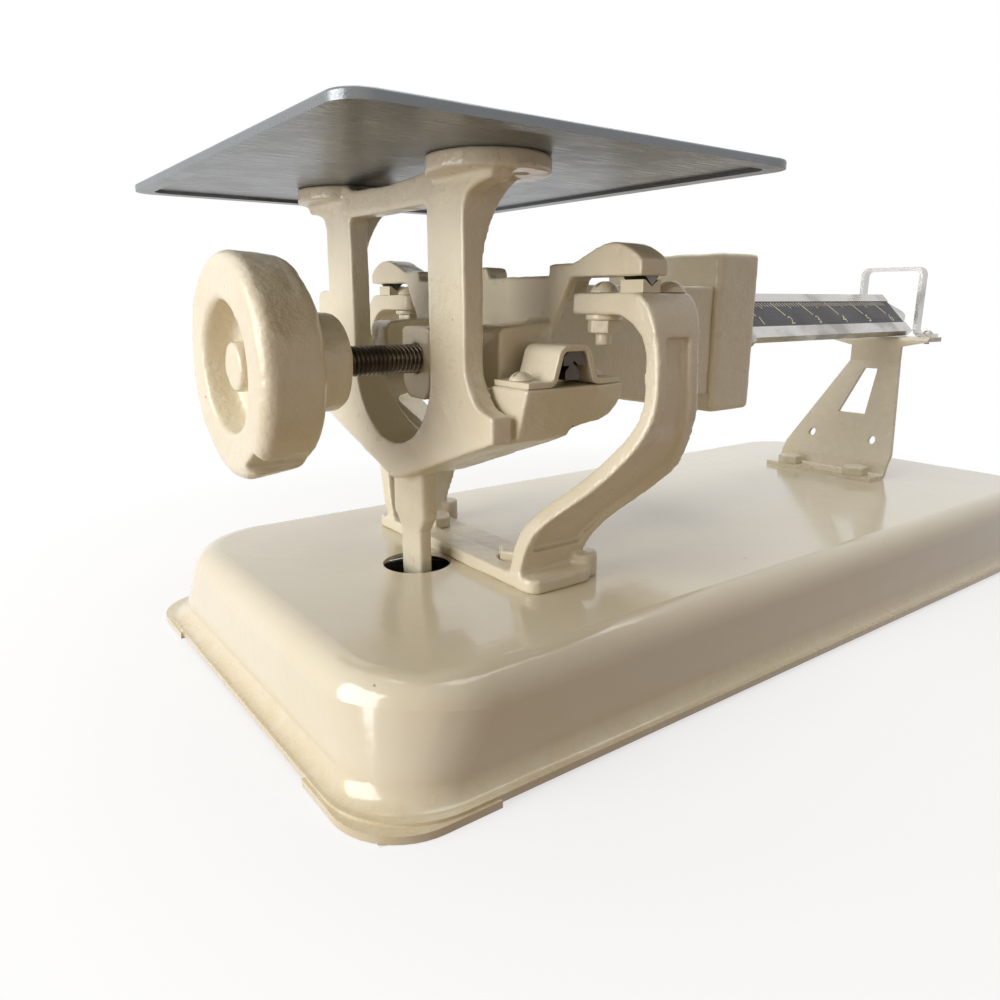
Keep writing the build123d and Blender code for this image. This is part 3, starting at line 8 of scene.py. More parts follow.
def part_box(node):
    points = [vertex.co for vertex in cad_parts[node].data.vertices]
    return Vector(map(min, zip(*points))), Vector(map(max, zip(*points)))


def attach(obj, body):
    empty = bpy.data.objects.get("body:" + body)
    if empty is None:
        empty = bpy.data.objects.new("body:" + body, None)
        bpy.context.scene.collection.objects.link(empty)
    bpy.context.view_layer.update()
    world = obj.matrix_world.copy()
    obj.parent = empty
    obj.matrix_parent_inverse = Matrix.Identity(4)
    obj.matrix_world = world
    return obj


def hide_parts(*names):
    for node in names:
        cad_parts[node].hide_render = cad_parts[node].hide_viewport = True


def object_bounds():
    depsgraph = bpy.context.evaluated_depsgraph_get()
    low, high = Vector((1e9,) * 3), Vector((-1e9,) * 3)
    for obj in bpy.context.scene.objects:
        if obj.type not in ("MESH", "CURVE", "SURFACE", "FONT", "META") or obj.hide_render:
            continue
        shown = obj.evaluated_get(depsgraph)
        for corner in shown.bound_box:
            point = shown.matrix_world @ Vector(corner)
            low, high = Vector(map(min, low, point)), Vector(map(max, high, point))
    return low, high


bl_info = {
    "name": "Baby Scale",
    "version": (1, 0, 0),
    "blender": (4, 5, 0),
    "location": "3D View > Sidebar > Baby Scale",
    "description": "Dresses the packed baby scale with enamel, sheet, a thread and a printed beam",
    "category": "Object",
}

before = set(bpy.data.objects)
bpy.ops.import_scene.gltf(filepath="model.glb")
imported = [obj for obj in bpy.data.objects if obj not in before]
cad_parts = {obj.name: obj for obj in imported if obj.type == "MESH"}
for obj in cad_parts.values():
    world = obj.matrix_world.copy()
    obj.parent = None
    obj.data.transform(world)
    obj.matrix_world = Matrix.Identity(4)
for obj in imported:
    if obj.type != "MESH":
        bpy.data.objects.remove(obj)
cad_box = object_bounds()

MM = 0.001

# The camera, solved from the photograph: millimetres, degrees, and the lens in millimetres
CAMERA_PLACE = (-307.9, -264.1, 140.4)
CAMERA_TURN = (75.6, 0.0, -36.5)
CAMERA_LENS = 28.08
SENSOR_WIDTH = 36.0
CLIP_START = 0.01

# Name, place and target in millimetres, side in metres, power in watts, colour
LAMPS = (
    ("Window", (-930, 90, 330), (-100, 0, 90), 0.6, 7.2, (1.0, 0.99, 0.97)),
    ("Overhead", (100, 100, 900), (-50, 0, 60), 0.8, 4.4, (1.0, 1.0, 1.0)),
    ("Fill", (-500, -800, 500), (-100, 0, 80), 0.9, 0.7, (1.0, 0.70, 0.44)),
)
WHITE = (1.0, 1.0, 1.0, 1.0)
AMBIENT_COLOUR = (1.0, 0.88, 0.74, 1.0)
AMBIENT_STRENGTH = 0.18

# The floor, in metres, with one colour where it shows and a warm one for the light it throws back
FLOOR_REACH = 6.0
FLOOR_GAP = 0.0002
FLOOR_ROUGHNESS = 0.8
FLOOR_SHOWN = (0.95, 0.95, 0.95, 1.0)
FLOOR_BOUNCE = (0.27, 0.18, 0.11, 1.0)
# Its share of plain white grows between two distances from the middle, but not under the pan
WHITE_FROM, WHITE_TO = 0.2, 0.42
WHITE_LEAST, WHITE_MOST = 0.68, 1.0
UNDER_PAN = (0.228, 0.103)

# The beam's face lies at 45 degrees through a line along X
SLOPE = math.sqrt(0.5)
BEAM_LINE_Z = 131.0

# Rounds of smoothing and how far each one goes
CASTING_ROUNDING = 5
WHEEL_ROUNDING = 6
SCREW_ROUNDING = 3
SMOOTH_FACTOR = 0.5

# The castings' waves: their sizes in metres, and their strengths beside the setting
LUMP_SIZE = 0.012
FINE_LUMP_SIZE = 0.35 * LUMP_SIZE
FINE_LUMP_SHARE = 0.5
WHEEL_LUMPS = 1.4

# Metres within which corners are merged, and the angle in degrees that stays a crease
MERGE_DISTANCE = 1e-6
SHARP_ANGLE = 40.0
COAT_ROUGHNESS = 0.08


def mm(x, y, z):
    """A point of the frame, given in millimetres."""
    return Vector((x * MM, y * MM, z * MM))


# Settings that a user would change


class ScaleFinish(bpy.types.PropertyGroup):
    """Colours and finish of the scale"""

    enamel: bpy.props.FloatVectorProperty(
        name="Enamel",
        description="Colour of the cream enamel where it is clean",
        subtype="COLOR",
        size=3,
        min=0.0,
        max=1.0,
        default=(0.74, 0.68, 0.53),
    )
    aged_enamel: bpy.props.FloatVectorProperty(
        name="Aged enamel",
        description="Colour of the enamel where it has yellowed",
        subtype="COLOR",
        size=3,
        min=0.0,
        max=1.0,
        default=(0.66, 0.57, 0.38),
    )
    grime: bpy.props.FloatVectorProperty(
        name="Grime",
        description="Colour of the dirt in corners and pits",
        subtype="COLOR",
        size=3,
        min=0.0,
        max=1.0,
        default=(0.12, 0.10, 0.06),
    )
    sheet_steel: bpy.props.FloatVectorProperty(
        name="Platform sheet",
        description="Colour of the grey sheet platform",
        subtype="COLOR",
        size=3,
        min=0.0,
        max=1.0,
        default=(0.20, 0.215, 0.23),
    )
    nickel: bpy.props.FloatVectorProperty(
        name="Nickel",
        description="Colour of the nickel plating on the beam",
        subtype="COLOR",
        size=3,
        min=0.0,
        max=1.0,
        default=(0.55, 0.54, 0.52),
    )
    band: bpy.props.FloatVectorProperty(
        name="Scale band",
        description="Colour of the black band behind the numbers",
        subtype="COLOR",
        size=3,
        min=0.0,
        max=1.0,
        default=(0.012, 0.012, 0.014),
    )


class ScaleShape(bpy.types.PropertyGroup):
    """Sizes of the finer shapes"""

    cast_voxel: bpy.props.FloatProperty(
        name="Casting detail",
        description="Smallest feature kept on the castings",
        subtype="DISTANCE",
        unit="LENGTH",
        min=0.0004,
        max=0.003,
        default=0.0008,
    )
    cast_lumps: bpy.props.FloatProperty(
        name="Casting unevenness",
        description="Height of the waves left by the sand mould",
        subtype="DISTANCE",
        unit="LENGTH",
        min=0.0,
        max=0.001,
        default=0.00025,
    )
    screw_voxel: bpy.props.FloatProperty(
        name="Fastener detail",
        description="Smallest feature kept on the painted screws",
        subtype="DISTANCE",
        unit="LENGTH",
        min=0.0002,
        max=0.001,
        default=0.0003,
    )
    thread_depth: bpy.props.FloatProperty(
        name="Thread depth",
        description="Depth of the thread from its crest to its root",
        subtype="DISTANCE",
        unit="LENGTH",
        min=0.0002,
        max=0.002,
        default=0.00105,
    )
    flare_height: bpy.props.FloatProperty(
        name="Foot flare height",
        description="Height over which the pan's wall curves out to its rim",
        subtype="DISTANCE",
        unit="LENGTH",
        min=0.002,
        max=0.01,
        default=0.006,
    )
    numeral_size: bpy.props.FloatProperty(
        name="Numeral size",
        description="Letter size of the numbers on the beam",
        subtype="DISTANCE",
        unit="LENGTH",
        min=0.003,
        max=0.012,
        default=0.0078,
    )
    thread_pitch: bpy.props.FloatProperty(
        name="Thread pitch",
        description="Distance between the turns of the rod's thread",
        subtype="DISTANCE",
        unit="LENGTH",
        min=0.0005,
        max=0.004,
        default=0.001814,
    )


# Shader node groups that several materials share


def group_shell(name, inputs, outputs):
    """A new shader node group with the given sockets, and its input and output nodes."""
    group = bpy.data.node_groups.new(name, "ShaderNodeTree")
    for label, kind, value in inputs:
        socket = group.interface.new_socket(name=label, in_out="INPUT", socket_type=kind)
        socket.default_value = value
    for label, kind in outputs:
        group.interface.new_socket(name=label, in_out="OUTPUT", socket_type=kind)
    return group, group.nodes.new("NodeGroupInput"), group.nodes.new("NodeGroupOutput")


def add_node(tree, kind, inputs=None, **settings):
    """A node with its settings; inputs maps a socket to a value or to another node's output."""
    node = tree.nodes.new(kind)
    for key, value in settings.items():
        setattr(node, key, value)
    for key, value in (inputs or {}).items():
        if isinstance(value, bpy.types.NodeSocket):
            tree.links.new(value, node.inputs[key])
        else:
            node.inputs[key].default_value = value
    return node


def blend_colour(tree, factor, first, second):
    """The result socket of a colour mix."""
    inputs = {0: factor, 6: first, 7: second}
    return add_node(tree, "ShaderNodeMix", inputs, data_type="RGBA").outputs[2]


def ramp(tree, value, low, high, low_out=0.0, high_out=1.0):
    """Maps a value from low..high to low_out..high_out, held at both ends."""
    node = add_node(
        tree,
        "ShaderNodeMapRange",
        {0: value, 1: low, 2: high, 3: low_out, 4: high_out},
        interpolation_type="SMOOTHSTEP",
    )
    return node.outputs[0]


def combine(tree, operation, first, second):
    """The result socket of a math node."""
    return add_node(tree, "ShaderNodeMath", {0: first, 1: second}, operation=operation).outputs[0]


def noise_value(tree, place, scale, detail, roughness=0.5):
    """The value socket of a noise texture."""
    inputs = {"Vector": place, "Scale": scale, "Detail": detail, "Roughness": roughness}
    return add_node(tree, "ShaderNodeTexNoise", inputs).outputs["Fac"]


def build_aged_enamel():
    """Cream enamel that has yellowed in patches and towards the foot, with specks and chips."""
    group, inlet, outlet = group_shell(
        "Aged Enamel",
        [
            ("Enamel", "NodeSocketColor", (0.74, 0.68, 0.53, 1.0)),
            ("Aged", "NodeSocketColor", (0.66, 0.56, 0.34, 1.0)),
            ("Grime", "NodeSocketColor", (0.12, 0.10, 0.06, 1.0)),
            ("Patches", "NodeSocketFloat", 0.35),
            ("Specks", "NodeSocketFloat", 0.5),
            ("Foot Height", "NodeSocketFloat", 0.012),
            ("Gloss", "NodeSocketFloat", 0.25),
        ],
        [
            ("Colour", "NodeSocketColor"),
            ("Roughness", "NodeSocketFloat"),
            ("Pits", "NodeSocketFloat"),
        ],
    )
    place = add_node(group, "ShaderNodeTexCoord").outputs["Object"]
    height = add_node(group, "ShaderNodeSeparateXYZ", {0: place}).outputs[2]
    height = combine(group, "DIVIDE", height, inlet.outputs["Foot Height"])
    fine = noise_value(group, place, 160.0, 6.0)
    # Yellowed patches, and a ragged yellowed edge along the foot
    patch = ramp(group, noise_value(group, place, 22.0, 4.0), 0.42, 0.72)
    patch = combine(group, "MULTIPLY", patch, inlet.outputs["Patches"])
    foot = ramp(group, height, 0.15, 1.3, 1.0, 0.0)
    foot = combine(group, "MULTIPLY", foot, ramp(group, fine, 0.25, 0.65, 0.35, 1.0))
    age = combine(group, "MAXIMUM", patch, foot)
    colour = blend_colour(group, age, inlet.outputs["Enamel"], inlet.outputs["Aged"])
    # Round specks in about one cell of five, and chips with a broken outline
    inputs = {"Vector": place, "Scale": 75.0, "Randomness": 1.0}
    cells = add_node(group, "ShaderNodeTexVoronoi", inputs)
    pick = add_node(group, "ShaderNodeTexWhiteNoise", {"Vector": cells.outputs["Position"]})
    dot = ramp(group, cells.outputs["Distance"], 0.03, 0.055, 1.0, 0.0)
    speck = combine(group, "MULTIPLY", dot, ramp(group, pick.outputs["Value"], 0.80, 0.83))
    chip = ramp(group, noise_value(group, place, 70.0, 9.0, 0.62), 0.735, 0.75)
    pits = combine(group, "MAXIMUM", speck, chip)
    pits = combine(group, "MULTIPLY", pits, inlet.outputs["Specks"])
    colour = blend_colour(group, pits, colour, inlet.outputs["Grime"])
    # Age and pits take the gloss away
    rough = combine(group, "ADD", inlet.outputs["Gloss"], combine(group, "MULTIPLY", age, 0.12))
    rough = combine(group, "ADD", rough, combine(group, "MULTIPLY", pits, 0.4))
    rough = combine(group, "ADD", rough, ramp(group, fine, 0.3, 0.7, -0.03, 0.04))
    group.links.new(colour, outlet.inputs["Colour"])
    group.links.new(rough, outlet.inputs["Roughness"])
    group.links.new(pits, outlet.inputs["Pits"])


def build_surface_waves():
    """Height of a brushed-on or sprayed coat: orange peel over broad waves, less any pits."""
    group, inlet, outlet = group_shell(
        "Surface Waves",
        [
            ("Peel Scale", "NodeSocketFloat", 420.0),
            ("Peel", "NodeSocketFloat", 0.5),
            ("Wave Scale", "NodeSocketFloat", 90.0),
            ("Wave", "NodeSocketFloat", 0.5),
            ("Pits", "NodeSocketFloat", 0.0),
        ],
        [("Height", "NodeSocketFloat")],
    )
    place = add_node(group, "ShaderNodeTexCoord").outputs["Object"]
    peel = noise_value(group, place, inlet.outputs["Peel Scale"], 2.0)
    peel = combine(group, "MULTIPLY", peel, inlet.outputs["Peel"])
    wave = noise_value(group, place, inlet.outputs["Wave Scale"], 3.0)
    wave = combine(group, "MULTIPLY", wave, inlet.outputs["Wave"])
    height = combine(group, "ADD", peel, wave)
    height = combine(group, "SUBTRACT", height, inlet.outputs["Pits"])
    group.links.new(height, outlet.inputs["Height"])


def build_metal_wear():
    """Bare metal with scratches, stains and rubbed patches."""
    group, inlet, outlet = group_shell(
        "Metal Wear",
        [
            ("Metal", "NodeSocketColor", (0.5, 0.5, 0.5, 1.0)),
            ("Stain", "NodeSocketColor", (0.1, 0.08, 0.05, 1.0)),
            ("Stains", "NodeSocketFloat", 0.4),
            ("Gloss", "NodeSocketFloat", 0.3),
        ],
        [
            ("Colour", "NodeSocketColor"),
            ("Roughness", "NodeSocketFloat"),
            ("Height", "NodeSocketFloat"),
        ],
    )
    place = add_node(group, "ShaderNodeTexCoord").outputs["Object"]
    stain = ramp(group, noise_value(group, place, 45.0, 5.0), 0.45, 0.7)
    stain = combine(group, "MULTIPLY", stain, inlet.outputs["Stains"])
    colour = blend_colour(group, stain, inlet.outputs["Metal"], inlet.outputs["Stain"])
    # Scratches run along X
    stretched = add_node(group, "ShaderNodeMapping", {"Vector": place, "Scale": (1.0, 40.0, 40.0)})
    lines = noise_value(group, stretched.outputs[0], 60.0, 3.0)
    scratch = ramp(group, lines, 0.35, 0.65, -0.05, 0.08)
    rough = combine(group, "ADD", inlet.outputs["Gloss"], scratch)
    rough = combine(group, "ADD", rough, combine(group, "MULTIPLY", stain, 0.35))
    grain = combine(group, "MULTIPLY", noise_value(group, place, 500.0, 4.0), 0.5)
    height = combine(group, "ADD", grain, combine(group, "MULTIPLY", lines, 0.5))
    group.links.new(colour, outlet.inputs["Colour"])
    group.links.new(rough, outlet.inputs["Roughness"])
    group.links.new(height, outlet.inputs["Height"])


def shared_group(name):
    """The node group of that name, built on first use."""
    if name not in bpy.data.node_groups:
        GROUP_BUILDERS[name]()
    return bpy.data.node_groups[name]


GROUP_BUILDERS = {
    "Aged Enamel": build_aged_enamel,
    "Surface Waves": build_surface_waves,
    "Metal Wear": build_metal_wear,
}


def rgba(colour):
    """A colour with full opacity."""
    return (*colour, 1.0)


def material_shell(name):
    """A new material, its tree and its Principled shader."""
    material = bpy.data.materials.new(name)
    material.use_nodes = True
    tree = material.node_tree
    return material, tree, tree.nodes["Principled BSDF"]


def place_group(tree, name, **values):
    """A shared group placed in a material with its own values."""
    inputs = {key.replace("_", " "): value for key, value in values.items()}
    return add_node(tree, "ShaderNodeGroup", inputs, node_tree=shared_group(name))


def finish_surface(tree, shader, source, height, bump):
    """Joins a group's colour and roughness and a height in metres to a shader."""
    inputs = {"Height": height, "Strength": 1.0, "Distance": bump}
    relief = add_node(tree, "ShaderNodeBump", inputs)
    tree.links.new(source.outputs["Colour"], shader.inputs["Base Color"])
    tree.links.new(source.outputs["Roughness"], shader.inputs["Roughness"])
    tree.links.new(relief.outputs[0], shader.inputs["Normal"])


def enamel_material(name, patches, specks, gloss, peel, wave, bump, foot_height=0.012, coat=0.3):
    """Cream enamel; peel and wave are each a scale and a strength, and bump is in metres."""
    if name in bpy.data.materials:
        return bpy.data.materials[name]
    finish = bpy.context.scene.scale_finish
    material, tree, shader = material_shell(name)
    enamel = place_group(
        tree,
        "Aged Enamel",
        Enamel=rgba(finish.enamel),
        Aged=rgba(finish.aged_enamel),
        Grime=rgba(finish.grime),
        Patches=patches,
        Specks=specks,
        Foot_Height=foot_height,
        Gloss=gloss,
    )
    waves = place_group(
        tree,
        "Surface Waves",
        Peel_Scale=peel[0],
        Peel=peel[1],
        Wave_Scale=wave[0],
        Wave=wave[1],
        Pits=enamel.outputs["Pits"],
    )
    finish_surface(tree, shader, enamel, waves.outputs["Height"], bump)
    shader.inputs["Coat Weight"].default_value = coat
    shader.inputs["Coat Roughness"].default_value = COAT_ROUGHNESS
    return material


def metal_material(name, metal, stain, stains, gloss, bump, metallic=1.0):
    """Bare, plated or painted metal; stains is a share, and bump is in metres."""
    if name in bpy.data.materials:
        return bpy.data.materials[name]
    material, tree, shader = material_shell(name)
    wear = place_group(
        tree,
        "Metal Wear",
        Metal=rgba(metal),
        Stain=rgba(stain),
        Stains=stains,
        Gloss=gloss,
    )
    finish_surface(tree, shader, wear, wear.outputs["Height"], bump)
    shader.inputs["Metallic"].default_value = metallic
    return material


def cast_enamel():
    return enamel_material(
        "Cast Enamel",
        patches=0.35,
        specks=0.8,
        gloss=0.3,
        peel=(520.0, 0.45),
        wave=(150.0, 0.8),
        bump=0.0006,
    )


def sheet_enamel():
    return enamel_material(
        "Sheet Enamel",
        patches=0.25,
        specks=0.55,
        gloss=0.16,
        peel=(240.0, 0.25),
        wave=(35.0, 0.5),
        bump=0.0003,
        coat=0.5,
    )


def plate_enamel():
    return enamel_material(
        "Plate Enamel",
        patches=0.2,
        specks=0.4,
        gloss=0.26,
        peel=(420.0, 0.3),
        wave=(60.0, 0.4),
        bump=0.0003,
        foot_height=0.005,
    )


def marks_enamel():
    return enamel_material(
        "Scale Marks",
        patches=0.1,
        specks=0.3,
        gloss=0.4,
        peel=(520.0, 0.2),
        wave=(150.0, 0.2),
        bump=0.00005,
        coat=0.0,
    )


def platform_sheet():
    return metal_material(
        "Platform Sheet",
        metal=bpy.context.scene.scale_finish.sheet_steel,
        stain=(0.12, 0.12, 0.12),
        stains=0.15,
        gloss=0.3,
        bump=0.0001,
        metallic=0.55,
    )


def nickel_plate():
    return metal_material(
        "Nickel Plate",
        metal=bpy.context.scene.scale_finish.nickel,
        stain=(0.12, 0.10, 0.08),
        stains=0.5,
        gloss=0.22,
        bump=0.0001,
    )


def oiled_steel():
    return metal_material(
        "Oiled Steel",
        metal=(0.16, 0.13, 0.09),
        stain=(0.03, 0.02, 0.01),
        stains=0.7,
        gloss=0.35,
        bump=0.0001,
    )


def plain_steel():
    return metal_material(
        "Plain Steel",
        metal=(0.38, 0.37, 0.35),
        stain=(0.10, 0.06, 0.03),
        stains=0.6,
        gloss=0.4,
        bump=0.0001,
    )


# Steel for the knives and bearings, made very dark as painted shade: it stands in for the shadow
# inside the strap arches
def knife_steel():
    return metal_material(
        "Knife Steel",
        metal=(0.13, 0.12, 0.11),
        stain=(0.03, 0.025, 0.02),
        stains=0.6,
        gloss=0.35,
        bump=0.0001,
    )


def old_lead():
    return metal_material(
        "Old Lead",
        metal=(0.22, 0.23, 0.25),
        stain=(0.10, 0.10, 0.11),
        stains=0.6,
        gloss=0.6,
        bump=0.0004,
    )


def band_black():
    return metal_material(
        "Band Black",
        metal=bpy.context.scene.scale_finish.band,
        stain=(0.05, 0.045, 0.04),
        stains=0.35,
        gloss=0.38,
        bump=0.00005,
        metallic=0.0,
    )


# Mesh tools


def show(obj, body, material):
    """Links a finished piece into the scene on its body."""
    if obj.name not in bpy.context.scene.collection.objects:
        bpy.context.scene.collection.objects.link(obj)
    obj.data.materials.clear()
    obj.data.materials.append(material)
    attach(obj, body)


def set_smooth(mesh):
    """Smooth shading, creased where faces meet at more than the sharp angle."""
    for polygon in mesh.polygons:
        polygon.use_smooth = True
    limit = math.radians(SHARP_ANGLE)
    sharp = mesh.attributes.get("sharp_edge")
    if sharp is None:
        sharp = mesh.attributes.new("sharp_edge", "BOOLEAN", "EDGE")
    bm = bmesh.new()
    bm.from_mesh(mesh)
    values = [not edge.is_manifold or edge.calc_face_angle(0.0) > limit for edge in bm.edges]
    bm.free()
    sharp.data.foreach_set("value", values)


def apply_modifiers(obj):
    """Bakes the modifiers of an object into its mesh."""
    graph = bpy.context.evaluated_depsgraph_get()
    graph.update()
    result = bpy.data.meshes.new_from_object(obj.evaluated_get(graph))
    obj.modifiers.clear()
    obj.data = result


def joined_copy(name, nodes):
    """A new object whose mesh holds copies of the nodes' meshes."""
    bm = bmesh.new()
    for node in nodes:
        bm.from_mesh(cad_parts[node].data)
    bmesh.ops.remove_doubles(bm, verts=bm.verts, dist=MERGE_DISTANCE)
    mesh = bpy.data.meshes.new(name)
    bm.to_mesh(mesh)
    bm.free()
    obj = bpy.data.objects.new(name, mesh)
    bpy.context.scene.collection.objects.link(obj)
    return obj


def new_piece(name, vertices, faces):
    """A new object from plain vertices and faces, with its normals turned outwards."""
    mesh = bpy.data.meshes.new(name)
    mesh.from_pydata(vertices, [], faces)
    bm = bmesh.new()
    bm.from_mesh(mesh)
    bmesh.ops.recalc_face_normals(bm, faces=bm.faces)
    bm.to_mesh(mesh)
    bm.free()
    return bpy.data.objects.new(name, mesh)


def lofted(name, rings, closed):
    """A skin over rings of equal length, joined all round if closed, else capped at both ends."""
    count = len(rings[0])
    vertices = [point for ring in rings for point in ring]
    faces = []
    for i in range(len(rings) if closed else len(rings) - 1):
        near, far = i * count, (i + 1) % len(rings) * count
        for j in range(count):
            k = (j + 1) % count
            faces.append((near + j, near + k, far + k, far + j))
    if not closed:
        faces.append(tuple(range(count)))
        faces.append(tuple(range(len(vertices) - count, len(vertices))))
    return new_piece(name, vertices, faces)


def beam_point(x, up, off):
    """A point in metres from millimetres along the beam, up its slope and off its face."""
    return mm(x, (up - off) * SLOPE, BEAM_LINE_Z + (up + off) * SLOPE)


def softened(name, nodes, voxel, rounding, lumps=0.0):
    """A casting-like copy of CAD nodes: rounded edges and the slight waves of a sand mould."""
    obj = joined_copy(name, nodes)
    remesh = obj.modifiers.new("Remesh", "REMESH")
    remesh.mode = "VOXEL"
    remesh.voxel_size = voxel
    smooth = obj.modifiers.new("Smooth", "SMOOTH")
    smooth.factor = SMOOTH_FACTOR
    smooth.iterations = rounding
    apply_modifiers(obj)
    if lumps:
        mesh = obj.data
        normals = [v.normal.copy() for v in mesh.vertices]
        for vertex, normal in zip(mesh.vertices, normals):
            wave = noise.noise(vertex.co / LUMP_SIZE)
            wave += FINE_LUMP_SHARE * noise.noise(vertex.co / FINE_LUMP_SIZE)
            vertex.co += normal * wave * lumps
    for polygon in obj.data.polygons:
        polygon.use_smooth = True
    return obj


def dress(node, material):
    """Gives a CAD node that keeps its shape its own material."""
    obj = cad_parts[node]
    if not obj.data.materials:
        obj.data.materials.append(material)
    for slot in obj.material_slots:
        slot.material = material


# Pieces


class SCALE_OT_stage(bpy.types.Operator):
    """Sets up the camera, the lamps, the floor and the white background"""

    bl_idname = "baby_scale.stage"
    bl_label = "Stage"

    def execute(self, context):
        scene = context.scene
        scene.view_settings.view_transform = "Standard"
        camera_data = bpy.data.cameras.new("Camera")
        camera_data.sensor_width = SENSOR_WIDTH
        camera_data.lens = CAMERA_LENS
        camera_data.clip_start = CLIP_START
        camera = bpy.data.objects.new("Camera", camera_data)
        camera.location = mm(*CAMERA_PLACE)
        camera.rotation_euler = [math.radians(turn) for turn in CAMERA_TURN]
        scene.collection.objects.link(camera)
        scene.camera = camera

        world = bpy.data.worlds.new("Studio")
        world.use_nodes = True
        scene.world = world
        tree = world.node_tree
        tree.nodes.clear()
        seen = self.shown_rays(tree)
        plain = self.background(tree, AMBIENT_COLOUR, AMBIENT_STRENGTH)
        white = self.background(tree, WHITE, 1.0)
        mix = add_node(tree, "ShaderNodeMixShader", {0: seen, 1: plain, 2: white})
        output = tree.nodes.new("ShaderNodeOutputWorld")
        tree.links.new(mix.outputs[0], output.inputs[0])

        self.add_floor(scene)
        for name, place, target, size, power, colour in LAMPS:
            self.add_lamp(scene, name, mm(*place), mm(*target), size, power, colour)
        return {"FINISHED"}

    def background(self, tree, colour, strength):
        """The shader socket of an even background."""
        inputs = {"Color": colour, "Strength": strength}
        return add_node(tree, "ShaderNodeBackground", inputs).outputs[0]

    def shown_rays(self, tree):
        """One for the rays that show the background: camera, glossy and transmission rays."""
        rays = tree.nodes.new("ShaderNodeLightPath").outputs
        seen = combine(tree, "MAXIMUM", rays["Is Camera Ray"], rays["Is Transmission Ray"])
        return combine(tree, "MAXIMUM", seen, rays["Is Glossy Ray"])

    def add_floor(self, scene):
        """A pale floor that keeps the shadow and runs out into the white background."""
        mesh = bpy.data.meshes.new("Floor")
        sides = ((-1, -1), (1, -1), (1, 1), (-1, 1))
        corners = [(x * FLOOR_REACH, y * FLOOR_REACH, 0) for x, y in sides]
        mesh.from_pydata(corners, [], [(0, 1, 2, 3)])
        floor = bpy.data.objects.new("Floor", mesh)
        floor.location.z = cad_box[0][2] - FLOOR_GAP
        scene.collection.objects.link(floor)
        material, tree, shader = material_shell("Pale Floor")
        shown = self.shown_rays(tree)
        colour = blend_colour(tree, shown, FLOOR_BOUNCE, FLOOR_SHOWN)
        tree.links.new(colour, shader.inputs["Base Color"])
        shader.inputs["Roughness"].default_value = FLOOR_ROUGHNESS
        place = add_node(tree, "ShaderNodeTexCoord").outputs["Object"]
        length = add_node(tree, "ShaderNodeVectorMath", {0: place}, operation="LENGTH")
        axes = add_node(tree, "ShaderNodeSeparateXYZ", {0: place}).outputs
        # The floor under the pan stays dark, as it shows through the pan's opening
        under = 1.0
        for axis, half in enumerate(UNDER_PAN):
            across = combine(tree, "ABSOLUTE", axes[axis], 0.0)
            under = combine(tree, "MULTIPLY", combine(tree, "LESS_THAN", across, half), under)
        distance = length.outputs["Value"]
        far = ramp(tree, distance, WHITE_FROM, WHITE_TO, WHITE_LEAST, WHITE_MOST)
        far = combine(tree, "MULTIPLY", far, combine(tree, "SUBTRACT", 1.0, under))
        far = combine(tree, "MULTIPLY", far, shown)
        glow = add_node(tree, "ShaderNodeEmission", {"Color": WHITE, "Strength": 1.0})
        inputs = {0: far, 1: shader.outputs[0], 2: glow.outputs[0]}
        mix = add_node(tree, "ShaderNodeMixShader", inputs)
        tree.links.new(mix.outputs[0], tree.nodes["Material Output"].inputs["Surface"])
        floor.data.materials.append(material)

    def add_lamp(self, scene, name, place, target, size, power, colour):
        """A square lamp at one point, aimed at another."""
        data = bpy.data.lights.new(name, "AREA")
        data.shape = "SQUARE"
        data.size = size
        data.energy = power
        data.color = colour
        lamp = bpy.data.objects.new(name, data)
        lamp.location = place
        lamp.rotation_euler = (target - place).to_track_quat("-Z", "Y").to_euler()
        scene.collection.objects.link(lamp)


class SCALE_OT_castings(bpy.types.Operator):
    """Softens the cast pieces and gives them thick cream enamel"""

    bl_idname = "baby_scale.castings"
    bl_label = "Castings"

    def execute(self, context):
        shape = context.scene.scale_shape
        for name, nodes, body in (
            ("CarrierCasting", ["carrier_frame", "carrier_stem"], "carrier"),
            ("StandCasting", ["fulcrum_stand"], "base"),
            ("LeverCasting", ["main_lever"], "lever"),
            ("BoxCasting", ["counterweight_box"], "lever"),
            ("LidCasting", ["box_lid"], "lever"),
        ):
            piece = softened(name, nodes, shape.cast_voxel, CASTING_ROUNDING, shape.cast_lumps)
            show(piece, body, cast_enamel())
            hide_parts(*nodes)
        return {"FINISHED"}


class SCALE_OT_balance_weight(bpy.types.Operator):
    """Makes the dished balance weight"""

    bl_idname = "baby_scale.balance_weight"
    bl_label = "Balance weight"

    def execute(self, context):
        shape = context.scene.scale_shape
        voxel, lumps = shape.cast_voxel, shape.cast_lumps * WHEEL_LUMPS
        piece = softened("BalanceWheel", ["balance_weight"], voxel, WHEEL_ROUNDING, lumps)
        show(piece, "weight", cast_enamel())
        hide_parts("balance_weight")
        return {"FINISHED"}


